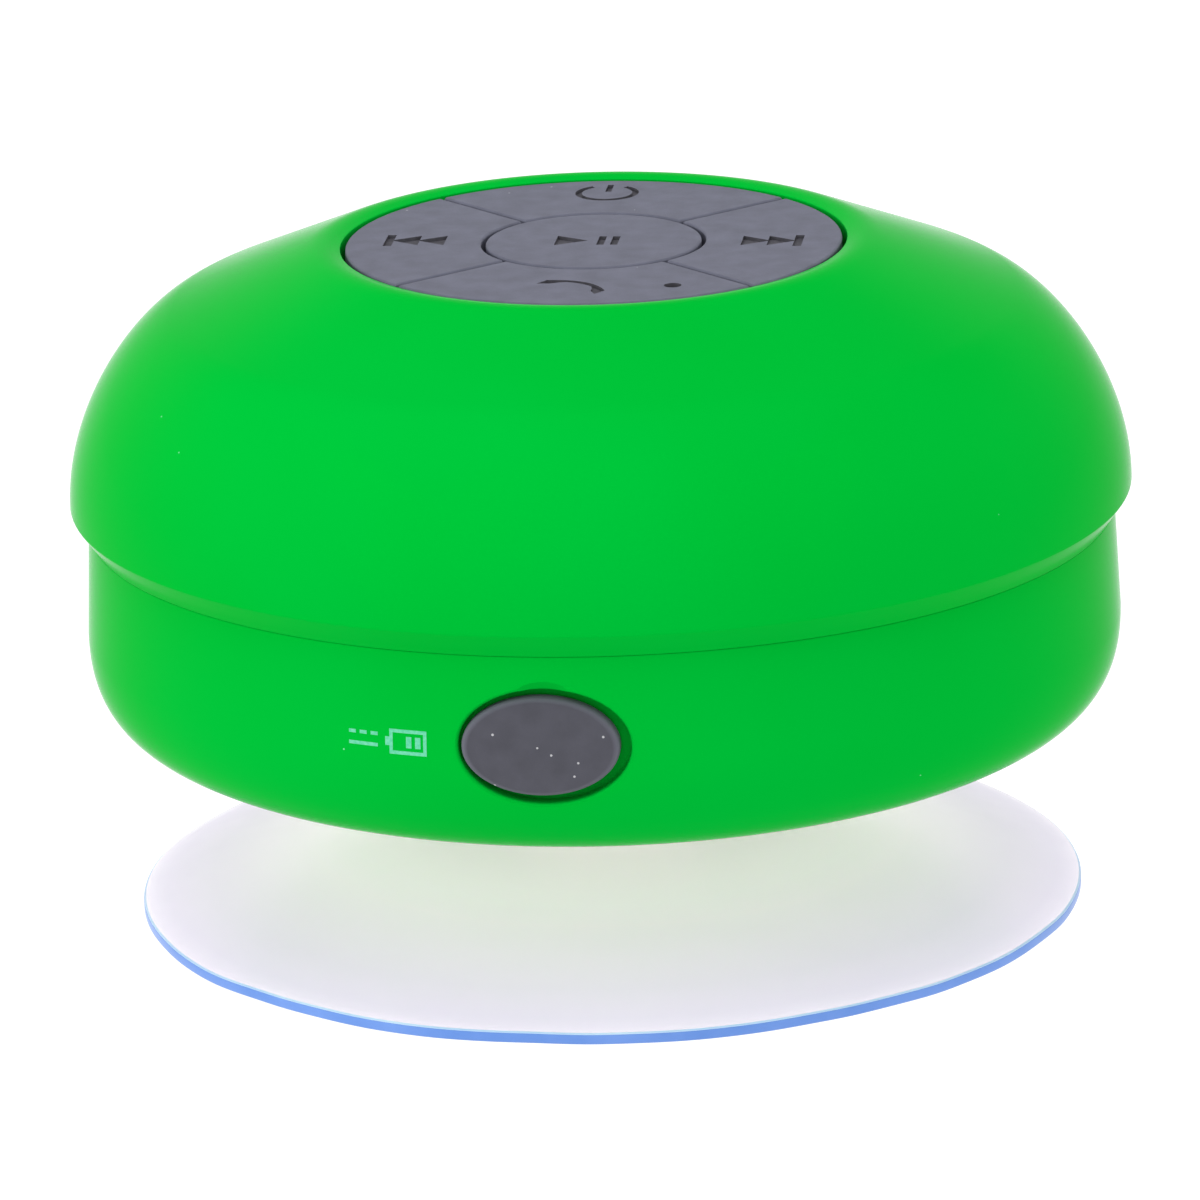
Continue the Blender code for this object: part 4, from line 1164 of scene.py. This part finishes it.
def paint_inner_nodes():
    """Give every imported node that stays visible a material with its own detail."""
    steel = brushed_steel("steel")
    zinc = brushed_steel("screw_steel", (0.62, 0.62, 0.60))
    dark = plain_rubber("dark_rubber", (0.025, 0.025, 0.026))
    board = circuit_board()
    black = moulded_plastic("black_plastic", (0.02, 0.02, 0.022))
    white = moulded_plastic("white_plastic", (0.75, 0.75, 0.72))
    cloth = woven_mesh()
    pulp = paper_pulp()
    copper = banded("copper_winding", (0.72, 0.33, 0.16), (0.35, 0.14, 0.06), 0.25, 0.05, 1.0)
    spider = banded("spider_cloth", (0.50, 0.36, 0.14), (0.30, 0.20, 0.07), 0.4, 0.05, roughness=0.8)
    ribbon = banded("ribbon_cable", (0.75, 0.75, 0.72), (0.35, 0.36, 0.38), 1.0, 0.02, direction="X")
    looks = {
        "case_gasket": plain_rubber("green_gasket", (0.0, 0.42, 0.03)),
        "keypad_membrane": dark,
        "stud_o_ring": dark,
        "cone_surround": dark,
        "battery_pad": plain_rubber("foam_pad", (0.05, 0.05, 0.05)),
        "stud_washer": steel,
        "stud_screw": zinc,
        "cup_stud": white,
        "battery_connector": white,
        "key_board": board,
        "main_board": board,
        "microphone": steel,
        "usb_socket": steel,
        "driver_frame": steel,
        "driver_front_plate": zinc,
        "driver_yoke": zinc,
        "driver_magnet": moulded_plastic("ferrite", (0.05, 0.05, 0.055), 0.6),
        "bluetooth_chip": black,
        "amplifier_chip": black,
        "acoustic_mesh": cloth,
        "speaker_cone": pulp,
        "dust_cap": pulp,
        "cone_spider": spider,
        "voice_coil": copper,
        "battery": cell_wrap(),
        "battery_lead": moulded_plastic("red_lead", (0.55, 0.02, 0.02)),
        "driver_lead": moulded_plastic("black_lead", (0.02, 0.02, 0.02)),
        "key_ribbon": ribbon,
    }
    for number in range(1, 6):
        looks[f"switch_body_{number}"] = black
        looks[f"switch_plunger_{number}"] = white
    for node, made in frame["nodes"].items():
        if made.hide_render:
            continue
        look = looks.get(node, zinc)
        made.data.materials.clear()
        made.data.materials.append(look)


# ---------------------------------------------------------------- the studio

def floor():
    """A white table lit from below, so that it stays white and without a shadow."""
    bm = bmesh.new()
    bmesh.ops.create_grid(bm, x_segments=1, y_segments=1, size=6.0)
    look = Look("light_table", (0.08, 0.08, 0.08), 0.9, Specular_IOR_Level=0.0)
    look.set("Emission Color", (1.0, 1.0, 1.0, 1.0))
    look.set("Emission Strength", 1.12)
    look.colour(look.ramp(look.noise(400.0), [(0.3, (0.075, 0.075, 0.075)), (0.7, (0.085, 0.085, 0.085))]))
    made = object_from("studio_floor", bm, look.material)


def softbox(name, place, size, watts):
    """An area light that faces the speaker."""
    data = bpy.data.lights.new(name, "AREA")
    data.shape = "RECTANGLE"
    data.size = size[0]
    data.size_y = size[1]
    data.energy = watts
    made = bpy.data.objects.new(name, data)
    bpy.context.scene.collection.objects.link(made)
    made.location = place
    made.visible_glossy = False
    toward = Vector((0.0, 0.0, 0.03)) - Vector(place)
    made.rotation_euler = toward.to_track_quat("-Z", "Y").to_euler()


def studio_light():
    """A white room whose walls are brighter than its ceiling, and three soft lamps."""
    world = bpy.data.worlds.new("white_room")
    world.use_nodes = True
    tree = world.node_tree
    direction = tree.nodes.new("ShaderNodeTexCoord")
    split = tree.nodes.new("ShaderNodeSeparateXYZ")
    fade = tree.nodes.new("ShaderNodeMapRange")
    fade.interpolation_type = "SMOOTHSTEP"
    for socket, value in (("From Min", 0.35), ("From Max", 0.70), ("To Min", 1.0), ("To Max", 0.15)):
        fade.inputs[socket].default_value = value
    tree.links.new(direction.outputs["Generated"], split.inputs["Vector"])
    tree.links.new(split.outputs["Z"], fade.inputs["Value"])
    tree.links.new(fade.outputs["Result"], tree.nodes["Background"].inputs["Strength"])
    tree.nodes["Background"].inputs["Color"].default_value = (1.0, 1.0, 1.0, 1.0)
    bpy.context.scene.world = world
    softbox("left_softbox", (-0.55, -0.20, 0.18), (0.5, 0.5), 1.4)
    softbox("right_softbox", (0.60, 0.15, 0.28), (0.4, 0.5), 0.5)
    softbox("top_softbox", (0.0, -0.18, 0.68), (0.9, 0.9), 5.5)


def camera():
    """The camera looks at the middle of the speaker, from the front and above."""
    turn = radians(6.8)
    distance = 691.7
    rise = radians(16.70)
    roll = radians(-1.696)
    centre = Vector((0.0, 0.0, 24.86))
    aim = centre + Vector((-0.3385, 0.0, 0.0))
    back = Vector((0.0, -cos(rise), sin(rise)))
    data = bpy.data.cameras.new("camera")
    data.lens = 254.8
    data.sensor_width = 36.0
    data.clip_start = 0.05
    data.clip_end = 50.0
    made = bpy.data.objects.new("camera", data)
    bpy.context.scene.collection.objects.link(made)
    pose = Matrix.Translation((centre + back * distance) * MM)
    look_along = (aim * MM - pose.translation).to_track_quat("-Z", "Y").to_matrix().to_4x4()
    made.matrix_world = Matrix.Rotation(turn, 4, "Z") @ pose @ look_along @ Matrix.Rotation(roll, 4, "Z")
    bpy.context.scene.camera = made
    bpy.context.scene.view_settings.view_transform = "Standard"


# ---------------------------------------------------------------------- main

camera()
floor()
studio_light()
dome()
base()
keypad()
plug()
tether()
port_marks()
suction_cup()
paint_inner_nodes()
